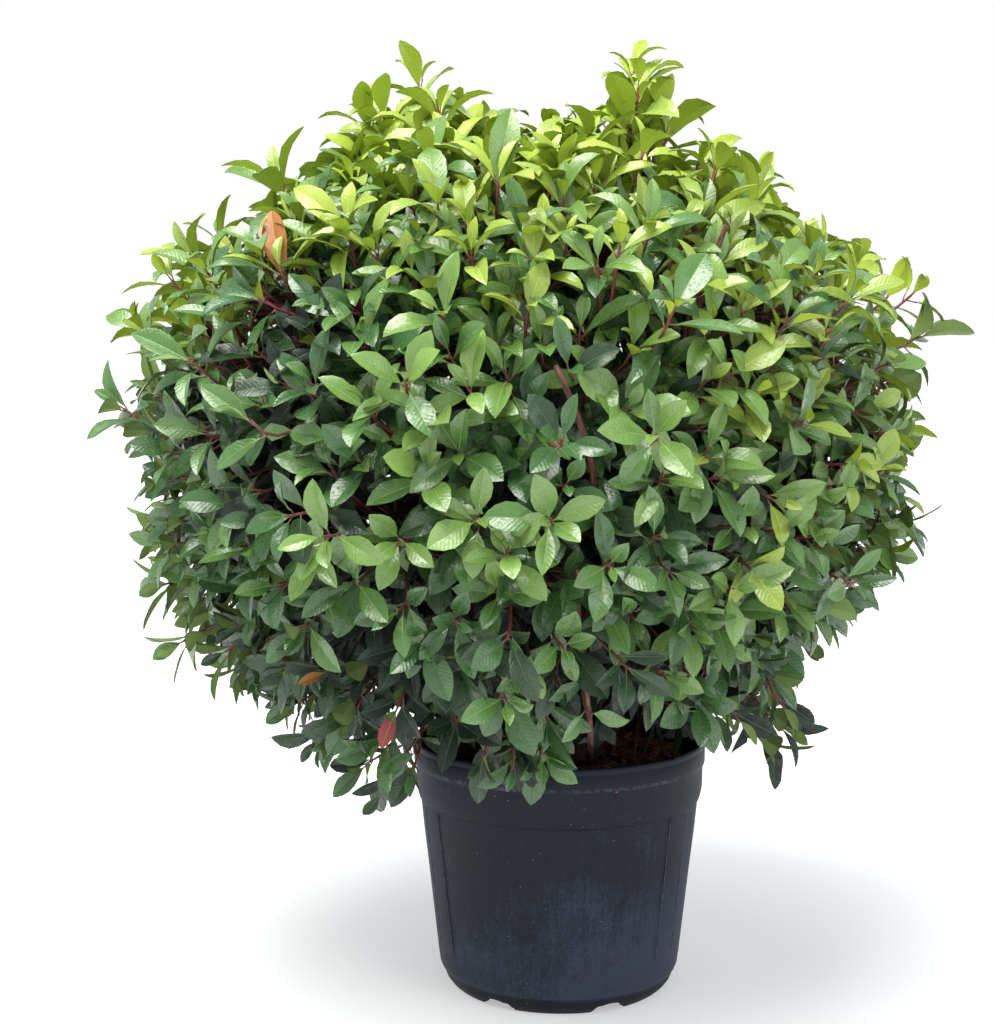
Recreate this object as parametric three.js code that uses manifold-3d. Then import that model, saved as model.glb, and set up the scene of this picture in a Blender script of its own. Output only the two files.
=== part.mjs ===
// Potted photinia: a round, dense evergreen shrub that grows on six stems in a black nursery pot.
// Millimetres, +Z up. The pot's axis is Z, its flat underside lies at Z = 0 and the front faces -Y.
import * as THREE from "three";
import { mergeVertices } from "three/addons/utils/BufferGeometryUtils.js";
import Module from "manifold-3d";

const wasm = await Module();
wasm.setup();

const CLEARANCE = 0.3; // between pieces that touch on the real plant
const UP = new THREE.Vector3(0, 0, 1);
const ALONG_Y = new THREE.Vector3(0, 1, 0); // the axis of a three.js cylinder

// The moulded pot: a rolled rim, a collar under it, a tapering wall with six flat strips and a foot
// ring with drain gaps.
const POT = {
  height: 325,
  rimRadius: 190,
  rimDepth: 31,
  lip: 6, // how far the rim stands proud of the wall inside it
  collarRadius: 187,
  collarFoot: 262,
  wallTop: 246,
  wallRadius: 181.5,
  wallFoot: 33,
  wallFootRadius: 157.5,
  shoulderRadius: 152,
  shoulderHeight: 19,
  footRadius: 139,
  thickness: 4,
  discRadius: 104, // the middle of the base, which stands on the ground
  discThickness: 3,
  channelHeight: 10, // the raised floor between the middle and the foot ring
  footRingWidth: 10,
  drainGaps: 6,
  drainGapWidth: 46,
  drainGapHeight: 12,
  drainTurn: -63, // degrees round Z of the first drain gap
  strips: 6,
  stripWidth: 40,
  stripDepth: 1.4,
  stripFoot: 58,
  stripTurn: -93.5, // degrees round Z of the first strip
  sides: 30,
};

const SOIL = { top: 298, edgeDrop: 5, sides: 24 };

// The outline of the foliage, as its reach from one centre.
const CROWN = {
  centre: new THREE.Vector3(-38, 0, 740),
  sideways: 552,
  depthwise: 534,
  upwards: 424,
  downwards: 552,
};

// Places where shoots stand above the even outline, or fall short of it: degrees round Z from +X,
// degrees above level, height and the angle over which it fades.
const PEAKS = [
  { turn: 0, lift: 70, height: 84, spread: 10 },
  { turn: 180, lift: 69, height: 50, spread: 13 },
  { turn: 0, lift: 90, height: -42, spread: 12 },
  { turn: 0, lift: 43, height: -38, spread: 13 },
  { turn: 180, lift: 46, height: -32, spread: 13 },
  { turn: -30, lift: -52, height: -22, spread: 14 },
  { turn: -125, lift: -58, height: 16, spread: 14 },
  { turn: 180, lift: 24, height: 22, spread: 14 },
  { turn: 0, lift: 14, height: 14, spread: 10 },
  { turn: 78, lift: 62, height: 40, spread: 16 },
  { turn: -90, lift: 58, height: 18, spread: 16 },
];

// Rings of foliage masses, each at its own lift above level as seen from the crown's centre.
const RINGS = [
  { name: "top", lift: 64, count: 4, turn: 0 },
  { name: "upper", lift: 23, count: 7, turn: -90 },
  { name: "middle", lift: -15, count: 7, turn: -64 },
  { name: "skirt", lift: -50, count: 6, turn: -90 },
];

const STEMS = {
  count: 6,
  turn: -60, // degrees round Z of the first stem
  ring: 44, // radius of the ring on which they leave the soil
  baseRadius: 10.5,
  tipRadius: 5.5,
  flare: 5,
  spread: 96, // how far their tips lean out
  tipHeight: 705,
  sides: 7,
  steps: 6,
};

const BOUGHS = {
  baseRadius: 5.4,
  tipRadius: 3.4,
  reach: 0.5, // share of the crown's reach at which they enter their mass
  sides: 5,
  steps: 3,
  leaveAt: { top: 0.99, upper: 0.72, middle: 0.5, skirt: 0.3 }, // share of the stem's length
};

const MASS = {
  cellGap: 2.5, // kept free to each side of the plane between two masses
  wellRadius: 150, // the stems' space, which the skirt stays out of
  potGap: 24, // kept free round the pot's rim
  widestSlope: 0.8, // from the mass's own direction to its edge
  coreMiddle: 0.765, // shares of the crown's reach
  coreHalfDepth: 0.1,
  coreRoughness: 0.04,
  coreSides: 12,
  twigs: 8, // one in the middle and a ring of the others
  twigRing: 0.66, // share of the way from the middle to the edge
  twigFoot: 0.74,
  twigTip: { top: 0.86, upper: 0.875, middle: 0.88, skirt: 0.87 },
  twigRise: [-0.25, 0.3], // how far a twig turns upwards from the crown's own direction
  twigRadius: 3,
};

// Leaves stand in whorls round the ends of the twigs.
const LEAF = {
  perWhorl: 4,
  length: [92, 134],
  shortest: 0.55, // share of its length under which a leaf is left out
  widthShare: 0.62,
  widestAt: 0.52,
  thickness: 5, // of a whorl at its middle
  rootRadius: 7, // from the whorl's middle to the place where two leaves part
  fold: 8, // how far the edges stand over the midrib
  droop: 14, // how far the tip hangs
  openness: { top: [32, 50], upper: [44, 64], middle: [48, 68], skirt: [50, 72] },
  tries: 14,
};

const COLOURS = {
  pot: 0x23262e,
  soil: 0x3a2418,
  bark: 0x5a4238,
  top: 0x86a83c,
  upper: 0x5f8f3a,
  middle: 0x46783a,
  skirt: 0x365f38,
};

const degrees = THREE.MathUtils.degToRad;

// A stream of numbers from 0 to 1 that is the same in every run.
function seededRandom(seed) {
  let state = seed >>> 0;
  return () => {
    state = (state + 0x6d2b79f5) >>> 0;
    let mixed = Math.imul(state ^ (state >>> 15), state | 1);
    mixed ^= mixed + Math.imul(mixed ^ (mixed >>> 7), mixed | 61);
    return ((mixed ^ (mixed >>> 14)) >>> 0) / 4294967296;
  };
}

function between(random, [low, high]) {
  return low + (high - low) * random();
}

function directionOf(turn, lift) {
  const level = Math.cos(degrees(lift));
  return new THREE.Vector3(
    level * Math.cos(degrees(turn)),
    level * Math.sin(degrees(turn)),
    Math.sin(degrees(lift)),
  );
}

// How far the foliage reaches from the crown's centre in one direction.
function reachOf(direction) {
  const upright = direction.z > 0 ? CROWN.upwards : CROWN.downwards;
  const level = Math.hypot(direction.x / CROWN.sideways, direction.y / CROWN.depthwise);
  const base = 1 / Math.hypot(level, direction.z / upright);
  return PEAKS.reduce((reach, peak) => {
    const away = direction.angleTo(directionOf(peak.turn, peak.lift)) / degrees(peak.spread);
    return reach + peak.height * Math.exp(-away * away);
  }, base);
}

// The closed three.js geometry as a solid that can be joined and cut.
function solidOf(geometry) {
  const bare = geometry.index ? geometry.toNonIndexed() : geometry.clone();
  bare.deleteAttribute("normal");
  bare.deleteAttribute("uv");
  const merged = mergeVertices(bare, 1e-3);
  return new wasm.Manifold(
    new wasm.Mesh({
      numProp: 3,
      vertProperties: merged.attributes.position.array,
      triVerts: new Uint32Array(merged.index.array),
    }),
  );
}

function geometryOf(solid) {
  const mesh = solid.getMesh();
  const geometry = new THREE.BufferGeometry();
  geometry.setAttribute("position", new THREE.BufferAttribute(mesh.vertProperties, 3));
  geometry.setIndex(new THREE.BufferAttribute(mesh.triVerts, 1));
  return geometry;
}

// The outer skin of the largest body: loose scraps go and sealed hollows are filled.
function largestBody(solid) {
  return solid.decompose().reduce((best, body) => (body.volume() > best.volume() ? body : best));
}

function meshOf(name, geometry, colour, roughness) {
  const material = new THREE.MeshStandardMaterial({ color: colour, roughness, metalness: 0 });
  const mesh = new THREE.Mesh(geometry, material);
  mesh.name = name;
  return mesh;
}

// A profile of [radius, height] pairs turned round Z.
function turned(profile, sides) {
  const points = profile.map(([radius, height]) => new THREE.Vector2(radius, height));
  return new THREE.LatheGeometry(points, sides).rotateX(Math.PI / 2);
}

// The radius of the pot's outer wall at a height between its foot and its top.
function wallRadiusAt(height) {
  const share = (height - POT.wallFoot) / (POT.wallTop - POT.wallFoot);
  return POT.wallFootRadius + share * (POT.wallRadius - POT.wallFootRadius);
}

function potGeometry() {
  const rimInside = POT.rimRadius - POT.lip;
  const floor = POT.channelHeight + POT.discThickness;
  const wallInside = (height) => wallRadiusAt(height) - POT.thickness;
  const ringInside = POT.footRadius - POT.footRingWidth;
  const profile = [
    [0, 0],
    [POT.discRadius, 0],
    [POT.discRadius + 4, POT.channelHeight],
    [ringInside, POT.channelHeight],
    [ringInside, 0],
    [POT.footRadius, 0],
    [POT.footRadius + 8, 7],
    [POT.shoulderRadius, POT.shoulderHeight],
    [POT.wallFootRadius, POT.wallFoot],
    [POT.wallRadius, POT.wallTop],
    [POT.collarRadius, POT.collarFoot],
    [POT.collarRadius, POT.height - POT.rimDepth],
    [POT.rimRadius, POT.height - POT.rimDepth + 2],
    [POT.rimRadius, POT.height - 2],
    [POT.rimRadius - 2, POT.height],
    [rimInside, POT.height],
    [rimInside - 2, POT.height - POT.rimDepth],
    [wallInside(POT.wallTop), POT.wallTop],
    [wallInside(POT.wallFoot), POT.wallFoot],
    [POT.footRadius + 6, floor],
    [0, floor],
  ];
  const gapLength = 2 * (POT.shoulderRadius - ringInside);
  const gaps = Array.from({ length: POT.drainGaps }, (_, index) => {
    const arch = new THREE.CylinderGeometry(1, 1, gapLength, 8);
    arch.rotateZ(Math.PI / 2);
    arch.scale(1, POT.drainGapWidth / 2, POT.drainGapHeight);
    arch.translate(ringInside - 2 + gapLength / 2, 0, 0);
    arch.rotateZ(degrees(POT.drainTurn + (index * 360) / POT.drainGaps));
    return solidOf(arch);
  });
  const body = solidOf(turned(profile, POT.sides));
  return geometryOf(body.add(stripsSolid()).subtract(wasm.Manifold.union(gaps)));
}

// The flat strips that stand a little proud of the wall, from its foot up to the collar.
function stripsSolid() {
  const proud = (height) => wallRadiusAt(height) + POT.stripDepth;
  const inner = (height) => wallRadiusAt(height) - POT.thickness / 2;
  const top = POT.wallTop + 4;
  const sleeve = solidOf(
    turned(
      [
        [inner(POT.stripFoot), POT.stripFoot],
        [proud(POT.stripFoot), POT.stripFoot],
        [proud(POT.wallTop), POT.wallTop],
        [POT.wallRadius + 1, top],
        [inner(top), top],
        [inner(POT.stripFoot), POT.stripFoot],
      ],
      POT.sides,
    ),
  );
  const tall = POT.height;
  const bars = Array.from({ length: POT.strips }, (_, index) => {
    const bar = new THREE.BoxGeometry(POT.rimRadius, POT.stripWidth, tall);
    bar.translate(POT.rimRadius / 2 + 60, 0, tall / 2);
    bar.rotateZ(degrees(POT.stripTurn + (index * 360) / POT.strips));
    return solidOf(bar);
  });
  return sleeve.intersect(wasm.Manifold.union(bars));
}

// The space that the foliage leaves free for the pot.
function potSpaceSolid() {
  const radius = POT.rimRadius + 3;
  const top = POT.height + 3;
  const profile = [
    [0, 0],
    [radius, 0],
    [radius, top],
    [0, top],
  ];
  return solidOf(turned(profile, POT.sides));
}

function soilGeometry() {
  const gap = CLEARANCE + 1.1; // the pot's flat sides lie this much inside its round profile
  const floor = POT.channelHeight + POT.discThickness + CLEARANCE;
  const inside = (height) => wallRadiusAt(height) - POT.thickness - gap;
  const edge = SOIL.top - SOIL.edgeDrop;
  const profile = [
    [0, floor],
    [POT.footRadius + 4, floor],
    [inside(POT.wallFoot), POT.wallFoot + 1],
    [inside(POT.wallTop), POT.wallTop],
    [POT.rimRadius - POT.lip - 3 - gap, edge],
    [POT.rimRadius - 32, SOIL.top],
    [0, SOIL.top],
  ];
  return turned(profile, SOIL.sides);
}

// A tapering limb along a curve. radiusAt gives its radius at each share of its length.
function limbGeometry(curve, radiusAt, sides, steps) {
  const frames = curve.computeFrenetFrames(steps, false);
  const geometry = new THREE.CylinderGeometry(1, 1, 1, sides, steps);
  const places = geometry.attributes.position;
  const place = new THREE.Vector3();
  for (let index = 0; index < places.count; index += 1) {
    place.fromBufferAttribute(places, index);
    const step = Math.round((place.y + 0.5) * steps);
    const share = step / steps;
    const radius = radiusAt(share);
    const centre = curve.getPointAt(share);
    centre.addScaledVector(frames.normals[step], -place.x * radius);
    centre.addScaledVector(frames.binormals[step], -place.z * radius);
    places.setXYZ(index, centre.x, centre.y, centre.z);
  }
  return geometry;
}

// A limb as a solid that faces outwards, whichever way its frames turn.
function limbSolid(curve, radiusAt, sides, steps) {
  const geometry = limbGeometry(curve, radiusAt, sides, steps);
  const solid = solidOf(geometry);
  if (solid.volume() > 0) return solid;
  const index = geometry.index;
  for (let face = 0; face < index.count; face += 3) {
    const second = index.getX(face + 1);
    index.setX(face + 1, index.getX(face + 2));
    index.setX(face + 2, second);
  }
  return solidOf(geometry);
}

function stemPlan(index) {
  const turn = STEMS.turn + (index * 360) / STEMS.count;
  const out = directionOf(turn, 0);
  const foot = out.clone().multiplyScalar(STEMS.ring).setZ(SOIL.top + CLEARANCE);
  const lean = STEMS.spread * (index % 2 ? 0.8 : 1.12);
  const tip = CROWN.centre.clone().addScaledVector(out, lean);
  tip.z = STEMS.tipHeight - (index % 2 ? 0 : 26);
  const knee = foot.clone().addScaledVector(UP, 110);
  const elbow = tip.clone().addScaledVector(UP, -150).addScaledVector(out, -8);
  const curve = new THREE.CubicBezierCurve3(foot, knee, elbow, tip);
  const radiusAt = (share) =>
    THREE.MathUtils.lerp(STEMS.baseRadius, STEMS.tipRadius, share) +
    STEMS.flare * Math.exp(-share * 16);
  return { name: `stem_${index + 1}`, turn, curve, radiusAt };
}

const stems = Array.from({ length: STEMS.count }, (_, index) => stemPlan(index));

// Every mass with its direction and the stem that carries it: the one that leans most nearly its way.
const masses = RINGS.flatMap((ring) =>
  Array.from({ length: ring.count }, (_, index) => {
    const turn = ring.turn + (index * 360) / ring.count;
    const direction = directionOf(turn, ring.lift);
    const out = directionOf(turn, 0);
    return { ring: ring.name, name: `${ring.name}_${index + 1}`, turn, direction, out };
  }),
);

function assignStems() {
  for (const ring of RINGS) {
    const free = new Map(stems.map((stem) => [stem, Math.ceil(ring.count / stems.length)]));
    const pairs = masses
      .filter((mass) => mass.ring === ring.name)
      .flatMap((mass) =>
        stems.map((stem) => ({ mass, stem, away: mass.out.angleTo(directionOf(stem.turn, 0)) })),
      )
      .sort((one, other) => one.away - other.away);
    for (const { mass, stem } of pairs) {
      if (mass.stem || !free.get(stem)) continue;
      mass.stem = stem;
      free.set(stem, free.get(stem) - 1);
    }
  }
}

// A bough runs out of its stem's axis, bends up and ends where it enters its mass.
function planBough(mass, order) {
  const share = Math.min(1, BOUGHS.leaveAt[mass.ring] + order * 0.09);
  const start = mass.stem.curve.getPointAt(share);
  const along = mass.stem.curve.getTangentAt(share);
  const end = CROWN.centre
    .clone()
    .addScaledVector(mass.direction, BOUGHS.reach * reachOf(mass.direction));
  const span = start.distanceTo(end);
  const leaving = along.clone().multiplyScalar(0.5).add(mass.out).normalize();
  const knee = start.clone().addScaledVector(leaving, span * 0.35);
  const elbow = end.clone().addScaledVector(mass.direction, -span * 0.3);
  mass.boughCurve = new THREE.CubicBezierCurve3(start, knee, elbow, end);
  mass.entry = end;
}

assignStems();
for (const stem of stems) {
  for (const ring of RINGS) {
    masses
      .filter((mass) => mass.stem === stem && mass.ring === ring.name)
      .forEach((mass, order) => planBough(mass, order));
  }
}

const boughRadiusAt = (share) => THREE.MathUtils.lerp(BOUGHS.baseRadius, BOUGHS.tipRadius, share);

// The planes that bound a mass's own space, as outward normals with their distance from the crown's centre.
function cellPlanes(mass) {
  const planes = masses
    .filter((other) => other !== mass)
    .map((other) => ({
      normal: other.direction.clone().sub(mass.direction).normalize(),
      limit: -MASS.cellGap,
    }));
  if (mass.ring === "skirt") {
    const inwards = mass.out.clone().negate();
    planes.push({ normal: inwards, limit: -MASS.wellRadius - inwards.dot(CROWN.centre) });
  }
  return planes;
}

function insideCell(planes, point) {
  const local = point.clone().sub(CROWN.centre);
  return planes.every((plane) => plane.normal.dot(local) < plane.limit);
}

function insideReach(point) {
  const local = point.clone().sub(CROWN.centre);
  return local.length() <= reachOf(local.clone().normalize());
}

function clearOfPot(point) {
  const aside = Math.hypot(point.x, point.y) > POT.rimRadius + MASS.potGap;
  return aside || point.z > POT.height + MASS.potGap;
}

// The point of the crown at two slopes from a mass's own direction and at a share of the reach there.
function crownPoint(mass, across, along, share) {
  const direction = mass.direction
    .clone()
    .addScaledVector(mass.across, across)
    .addScaledVector(mass.along, along)
    .normalize();
  return CROWN.centre.clone().addScaledVector(direction, share * reachOf(direction));
}

// How far a mass's own space reaches from its middle at one bearing, as a slope.
function roomAt(mass, planes, bearing, share) {
  const step = 0.008;
  for (let slope = step; slope <= MASS.widestSlope; slope += step) {
    const place = crownPoint(mass, slope * Math.cos(bearing), slope * Math.sin(bearing), share);
    if (!insideCell(planes, place) || !clearOfPot(place)) return slope - step;
  }
  return MASS.widestSlope;
}

// The bearing inside one sector at which a mass's space reaches farthest, and how far it reaches there.
function widestBearing(mass, planes, sector, share) {
  const width = (2 * Math.PI) / MASS.coreSides;
  const samples = [-0.4, -0.2, 0, 0.2, 0.4].map((offset) => {
    const bearing = (sector + offset) * width;
    return { bearing, room: roomAt(mass, planes, bearing, share) };
  });
  return samples.reduce((best, sample) => (sample.room > best.room ? sample : best));
}

// The dense inner body of a mass: a cushion under the leaves that fills the mass's own space.
function coreSolid(mass, planes, random) {
  const ball = new THREE.SphereGeometry(1, MASS.coreSides, 4).rotateX(Math.PI / 2);
  const geometry = mergeVertices(ball.deleteAttribute("normal").deleteAttribute("uv"));
  const places = geometry.attributes.position;
  const corner = new THREE.Vector3();
  for (let index = 0; index < places.count; index += 1) {
    corner.fromBufferAttribute(places, index);
    const depth = Math.sign(corner.z) * Math.abs(corner.z) ** 0.8 * MASS.coreHalfDepth;
    const share = MASS.coreMiddle + depth + MASS.coreRoughness * (random() - 0.5);
    const flat = Math.hypot(corner.x, corner.y);
    const sector = Math.round((Math.atan2(corner.y, corner.x) / (2 * Math.PI)) * MASS.coreSides);
    const { bearing, room } = widestBearing(mass, planes, sector, share);
    const slope = flat < 0.1 ? 0 : room * (flat < 0.9 ? 0.97 : 1);
    const place = crownPoint(mass, slope * Math.cos(bearing), slope * Math.sin(bearing), share);
    places.setXYZ(index, place.x, place.y, place.z);
  }
  return solidOf(geometry);
}

// The straight stem of a mass, from its bough's tip into its core.
function stalkSolid(mass) {
  const start = mass.entry.clone().addScaledVector(mass.direction, CLEARANCE);
  const end = crownPoint(mass, 0, 0, MASS.coreMiddle);
  const stalk = new THREE.CylinderGeometry(1, 1, start.distanceTo(end), BOUGHS.sides);
  stalk.scale(BOUGHS.tipRadius, 1, BOUGHS.tipRadius);
  stalk.applyQuaternion(new THREE.Quaternion().setFromUnitVectors(ALONG_Y, mass.direction));
  const middle = start.add(end).multiplyScalar(0.5);
  return solidOf(stalk.translate(middle.x, middle.y, middle.z));
}

// The outline of one leaf of a whorl, from its left side round its tip to its right side.
function leafOutline(centre, heading, outwards, open, length) {
  const axis = heading.clone().multiplyScalar(Math.cos(open));
  axis.addScaledVector(outwards, Math.sin(open)).normalize();
  const side = new THREE.Vector3().crossVectors(heading, axis).normalize();
  const upper = new THREE.Vector3().crossVectors(axis, side);
  const halfWidth = (length * LEAF.widthShare) / 2;
  const at = (share, aside, lift) =>
    centre
      .clone()
      .addScaledVector(axis, share * length)
      .addScaledVector(side, aside * halfWidth)
      .addScaledVector(upper, lift);
  return [at(LEAF.widestAt, -1, LEAF.fold), at(1, 0, -LEAF.droop), at(LEAF.widestAt, 1, LEAF.fold)];
}

// The longest outline of a leaf that keeps to its mass's space, or none.
function fittingOutline(centre, heading, outwards, open, length, allowed) {
  for (let share = 1; share >= LEAF.shortest; share -= 0.07) {
    const outline = leafOutline(centre, heading, outwards, open, length * share);
    if (outline.every(allowed)) return outline;
  }
  return null;
}

// A twig and its whorl of leaves as one closed body. The whorl's upper side is a fan of faces over the
// joined outline of its leaves. Its lower side runs in to the twig's end, where each corner of the
// twig stands under the place where two leaves part.
function whorlGeometry(foot, centre, heading, partings, outline) {
  const above = centre.clone().addScaledVector(heading, LEAF.thickness / 2);
  const below = centre.clone().addScaledVector(heading, -LEAF.thickness / 2);
  const ringAt = (middle, radius) =>
    partings.map((parted) => middle.clone().addScaledVector(parted, radius));
  const upperRing = ringAt(below, MASS.twigRadius * 0.7);
  const lowerRing = ringAt(foot, MASS.twigRadius);
  const corners = [];
  outline.forEach(({ point, ring }, index) => {
    const next = outline[(index + 1) % outline.length];
    corners.push(above, point, next.point, point, upperRing[ring], next.point);
    if (next.ring !== ring) corners.push(next.point, upperRing[ring], upperRing[next.ring]);
  });
  partings.forEach((_, ring) => {
    const next = (ring + 1) % partings.length;
    corners.push(upperRing[ring], lowerRing[ring], upperRing[next]);
    corners.push(upperRing[next], lowerRing[ring], lowerRing[next]);
    corners.push(foot, lowerRing[next], lowerRing[ring]);
  });
  return new THREE.BufferGeometry().setFromPoints(corners);
}

// A twig with a whorl at its end, turned round it until its leaves meet nothing.
function tryWhorl(foot, centre, ring, allowed, taken, random) {
  const heading = centre.clone().sub(foot).normalize();
  const aside = new THREE.Vector3().crossVectors(heading, UP);
  if (aside.lengthSq() < 1e-4) aside.set(1, 0, 0);
  aside.normalize();
  const sector = (2 * Math.PI) / LEAF.perWhorl;
  for (let attempt = 0; attempt < LEAF.tries; attempt += 1) {
    const start = random() * Math.PI * 2;
    const outwardsAt = (turn) => aside.clone().applyAxisAngle(heading, start + turn * sector);
    const outline = [];
    const partings = [];
    for (let leaf = 0; leaf < LEAF.perWhorl; leaf += 1) {
      const open = degrees(between(random, LEAF.openness[ring]));
      const length = between(random, LEAF.length) * (1 - 0.02 * attempt);
      const leafPoints = fittingOutline(centre, heading, outwardsAt(leaf), open, length, allowed);
      const before = (leaf + LEAF.perWhorl - 1) % LEAF.perWhorl;
      for (const point of leafPoints ?? []) outline.push({ point, ring: before });
      const parted = outwardsAt(leaf + 0.5);
      partings.push(parted);
      outline.push({ point: centre.clone().addScaledVector(parted, LEAF.rootRadius), ring: leaf });
    }
    if (outline.length < LEAF.perWhorl + 6) continue;
    const solid = solidOf(whorlGeometry(foot, centre, heading, partings, outline));
    if (solid.volume() > 0 && taken.intersect(solid).isEmpty()) return solid;
  }
  return null;
}

// Bearings and slopes at which a mass's twigs stand: one in its middle and a ring of the others round it.
function twigPlaces(mass, planes, random) {
  const places = [{ bearing: 0, slope: 0 }];
  for (let index = 1; index < MASS.twigs; index += 1) {
    const bearing = ((index + 0.3 * (random() - 0.5)) * 2 * Math.PI) / (MASS.twigs - 1);
    const slope = MASS.twigRing * roomAt(mass, planes, bearing, MASS.twigTip[mass.ring]);
    places.push({ bearing, slope });
  }
  return places;
}

// A twig with its whorl, drawn in towards the mass's middle until it fits.
function growTwig(mass, place, allowed, taken, random) {
  for (let drawnIn = 1; drawnIn > 0.7; drawnIn -= 0.05) {
    const across = drawnIn * place.slope * Math.cos(place.bearing);
    const along = drawnIn * place.slope * Math.sin(place.bearing);
    const tipShare = MASS.twigTip[mass.ring] + 0.04 * (random() - 0.5);
    const tip = crownPoint(mass, across, along, tipShare);
    const foot = crownPoint(mass, across, along, MASS.twigFoot);
    foot.addScaledVector(UP, -between(random, MASS.twigRise) * foot.distanceTo(tip));
    const whorl = tryWhorl(foot, tip, mass.ring, allowed, taken, random);
    if (whorl) return whorl;
  }
  return null;
}

// A mass: a stem, a core, and twigs with whorls of leaves that stand out of it.
function massGeometry(mass, limbs, number) {
  const random = seededRandom(4100 + number * 17);
  const planes = cellPlanes(mass);
  const allowed = (point) => insideCell(planes, point) && insideReach(point);
  mass.across = new THREE.Vector3().crossVectors(UP, mass.direction).normalize();
  mass.along = new THREE.Vector3().crossVectors(mass.direction, mass.across);
  const core = coreSolid(mass, planes, random).subtract(potSpace);
  const pieces = [core, stalkSolid(mass)];
  let taken = limbs;
  for (const place of twigPlaces(mass, planes, random)) {
    const whorl = growTwig(mass, place, allowed, taken, random);
    if (!whorl) continue;
    pieces.push(whorl);
    taken = taken.add(whorl);
  }
  return geometryOf(largestBody(wasm.Manifold.union(pieces)));
}

const potSpace = potSpaceSolid();
const plant = new THREE.Group();
plant.add(meshOf("pot", potGeometry(), COLOURS.pot, 0.55));
plant.add(meshOf("soil", soilGeometry(), COLOURS.soil, 0.95));

const limbSolids = [];
for (const stem of stems) {
  const solid = limbSolid(stem.curve, stem.radiusAt, STEMS.sides, STEMS.steps);
  const swollen = limbSolid(
    stem.curve,
    (share) => stem.radiusAt(share) + CLEARANCE * 1.2,
    STEMS.sides,
    STEMS.steps,
  );
  stem.swollen = swollen;
  limbSolids.push(solid);
  plant.add(meshOf(stem.name, geometryOf(solid), COLOURS.bark, 0.9));
}
for (const mass of masses) {
  const whole = limbSolid(mass.boughCurve, boughRadiusAt, BOUGHS.sides, BOUGHS.steps);
  const solid = largestBody(whole.subtract(mass.stem.swollen));
  limbSolids.push(solid);
  plant.add(meshOf(`bough_${mass.name}`, geometryOf(solid), COLOURS.bark, 0.85));
}
const limbs = wasm.Manifold.union([potSpace, ...limbSolids]);
masses.forEach((mass, number) => {
  const geometry = massGeometry(mass, limbs, number + 1);
  plant.add(meshOf(`foliage_${mass.name}`, geometry, COLOURS[mass.ring], 0.5));
});

export default plant;
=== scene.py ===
"""The looks of a potted photinia: a round, leafy evergreen shrub on six stems in a black nursery pot.

Metres, +Z up. The pot's axis is Z, its underside lies at Z = 0 and the front faces -Y. The limbs, the
spaces of the foliage masses and the reach of the leaves follow the same named sizes and rules as the
part's solids, carried on to finer twigs and to leaves of their real size.
"""

from __future__ import annotations

import logging
from dataclasses import dataclass, field
from enum import Enum

import bpy
import numpy as np
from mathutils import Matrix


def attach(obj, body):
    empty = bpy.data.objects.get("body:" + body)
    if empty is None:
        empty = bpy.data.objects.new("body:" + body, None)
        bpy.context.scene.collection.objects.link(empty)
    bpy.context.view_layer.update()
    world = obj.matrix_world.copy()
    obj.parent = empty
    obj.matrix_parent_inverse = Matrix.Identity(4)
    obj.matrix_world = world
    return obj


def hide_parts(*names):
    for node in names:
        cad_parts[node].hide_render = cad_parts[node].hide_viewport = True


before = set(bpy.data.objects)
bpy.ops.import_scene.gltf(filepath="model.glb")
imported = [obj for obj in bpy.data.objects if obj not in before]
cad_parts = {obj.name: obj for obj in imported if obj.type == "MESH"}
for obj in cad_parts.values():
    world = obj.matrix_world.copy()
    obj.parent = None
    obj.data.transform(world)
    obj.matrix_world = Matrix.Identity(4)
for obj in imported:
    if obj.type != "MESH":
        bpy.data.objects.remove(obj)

LOG = logging.getLogger("photinia")
UP = np.array([0.0, 0.0, 1.0])
GOLDEN_TURN = np.pi * (3 - np.sqrt(5))  # the angle from one leaf to the next round a shoot

Array = np.ndarray
Pair, Triple = tuple[float, float], tuple[float, float, float]
Rows = tuple[tuple[float, ...], ...]  # a table of numbers, whose columns a comment names
Course = tuple[tuple[float, ...], tuple[float, ...]]  # places, and the values between which it runs
STEEP = 0.6  # a limb whose chord has less than this along X takes X as its steady axis


def linear(colour: str) -> tuple[float, float, float, float]:
    """Turns an sRGB hex colour to linear RGBA.

    Args:
        colour: six hex digits after a hash.

    Returns:
        The linear red, green and blue with an alpha of 1.
    """
    values = [int(colour[place : place + 2], 16) / 255 for place in (1, 3, 5)]
    red, green, blue = (
        value / 12.92 if value <= 0.04045 else ((value + 0.055) / 1.055) ** 2.4 for value in values
    )
    return (red, green, blue, 1.0)


def unit(vectors: Array) -> Array:
    """Scales the vectors in the last axis to a length of one."""
    return vectors / np.maximum(np.linalg.norm(vectors, axis=-1, keepdims=True), 1e-12)


def round_turns(sides: int) -> Array:
    """Even turns once round, in radians."""
    return np.arange(sides) * 2 * np.pi / sides


def polar(radius: Array | float, turn: Array, height: Array | float) -> Array:
    """Points from their radius, their turn round Z from +X in radians, and their height."""
    parts = np.broadcast_arrays(radius * np.cos(turn), radius * np.sin(turn), height)
    return np.stack(parts, axis=-1)


def spiral(number: int) -> tuple[Array, Array]:
    """An even spiral: the share of its places that is passed at each of them, and its turn there."""
    count = np.arange(number) + 0.5
    return count / number, count * GOLDEN_TURN


def direction_of(turn: Array | float, lift: Array | float) -> Array:
    """Gives unit vectors from degrees round Z from +X and degrees above level."""
    turn, lift = np.radians(turn), np.radians(lift)
    return polar(np.cos(lift), turn, np.sin(lift))


def square_to(vectors: Array, axes: Array) -> Array:
    """Takes from each vector its part along its axis, and scales the rest to a length of one."""
    along = np.sum(vectors * axes, axis=-1, keepdims=True)
    return unit(vectors - along * axes)


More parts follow.
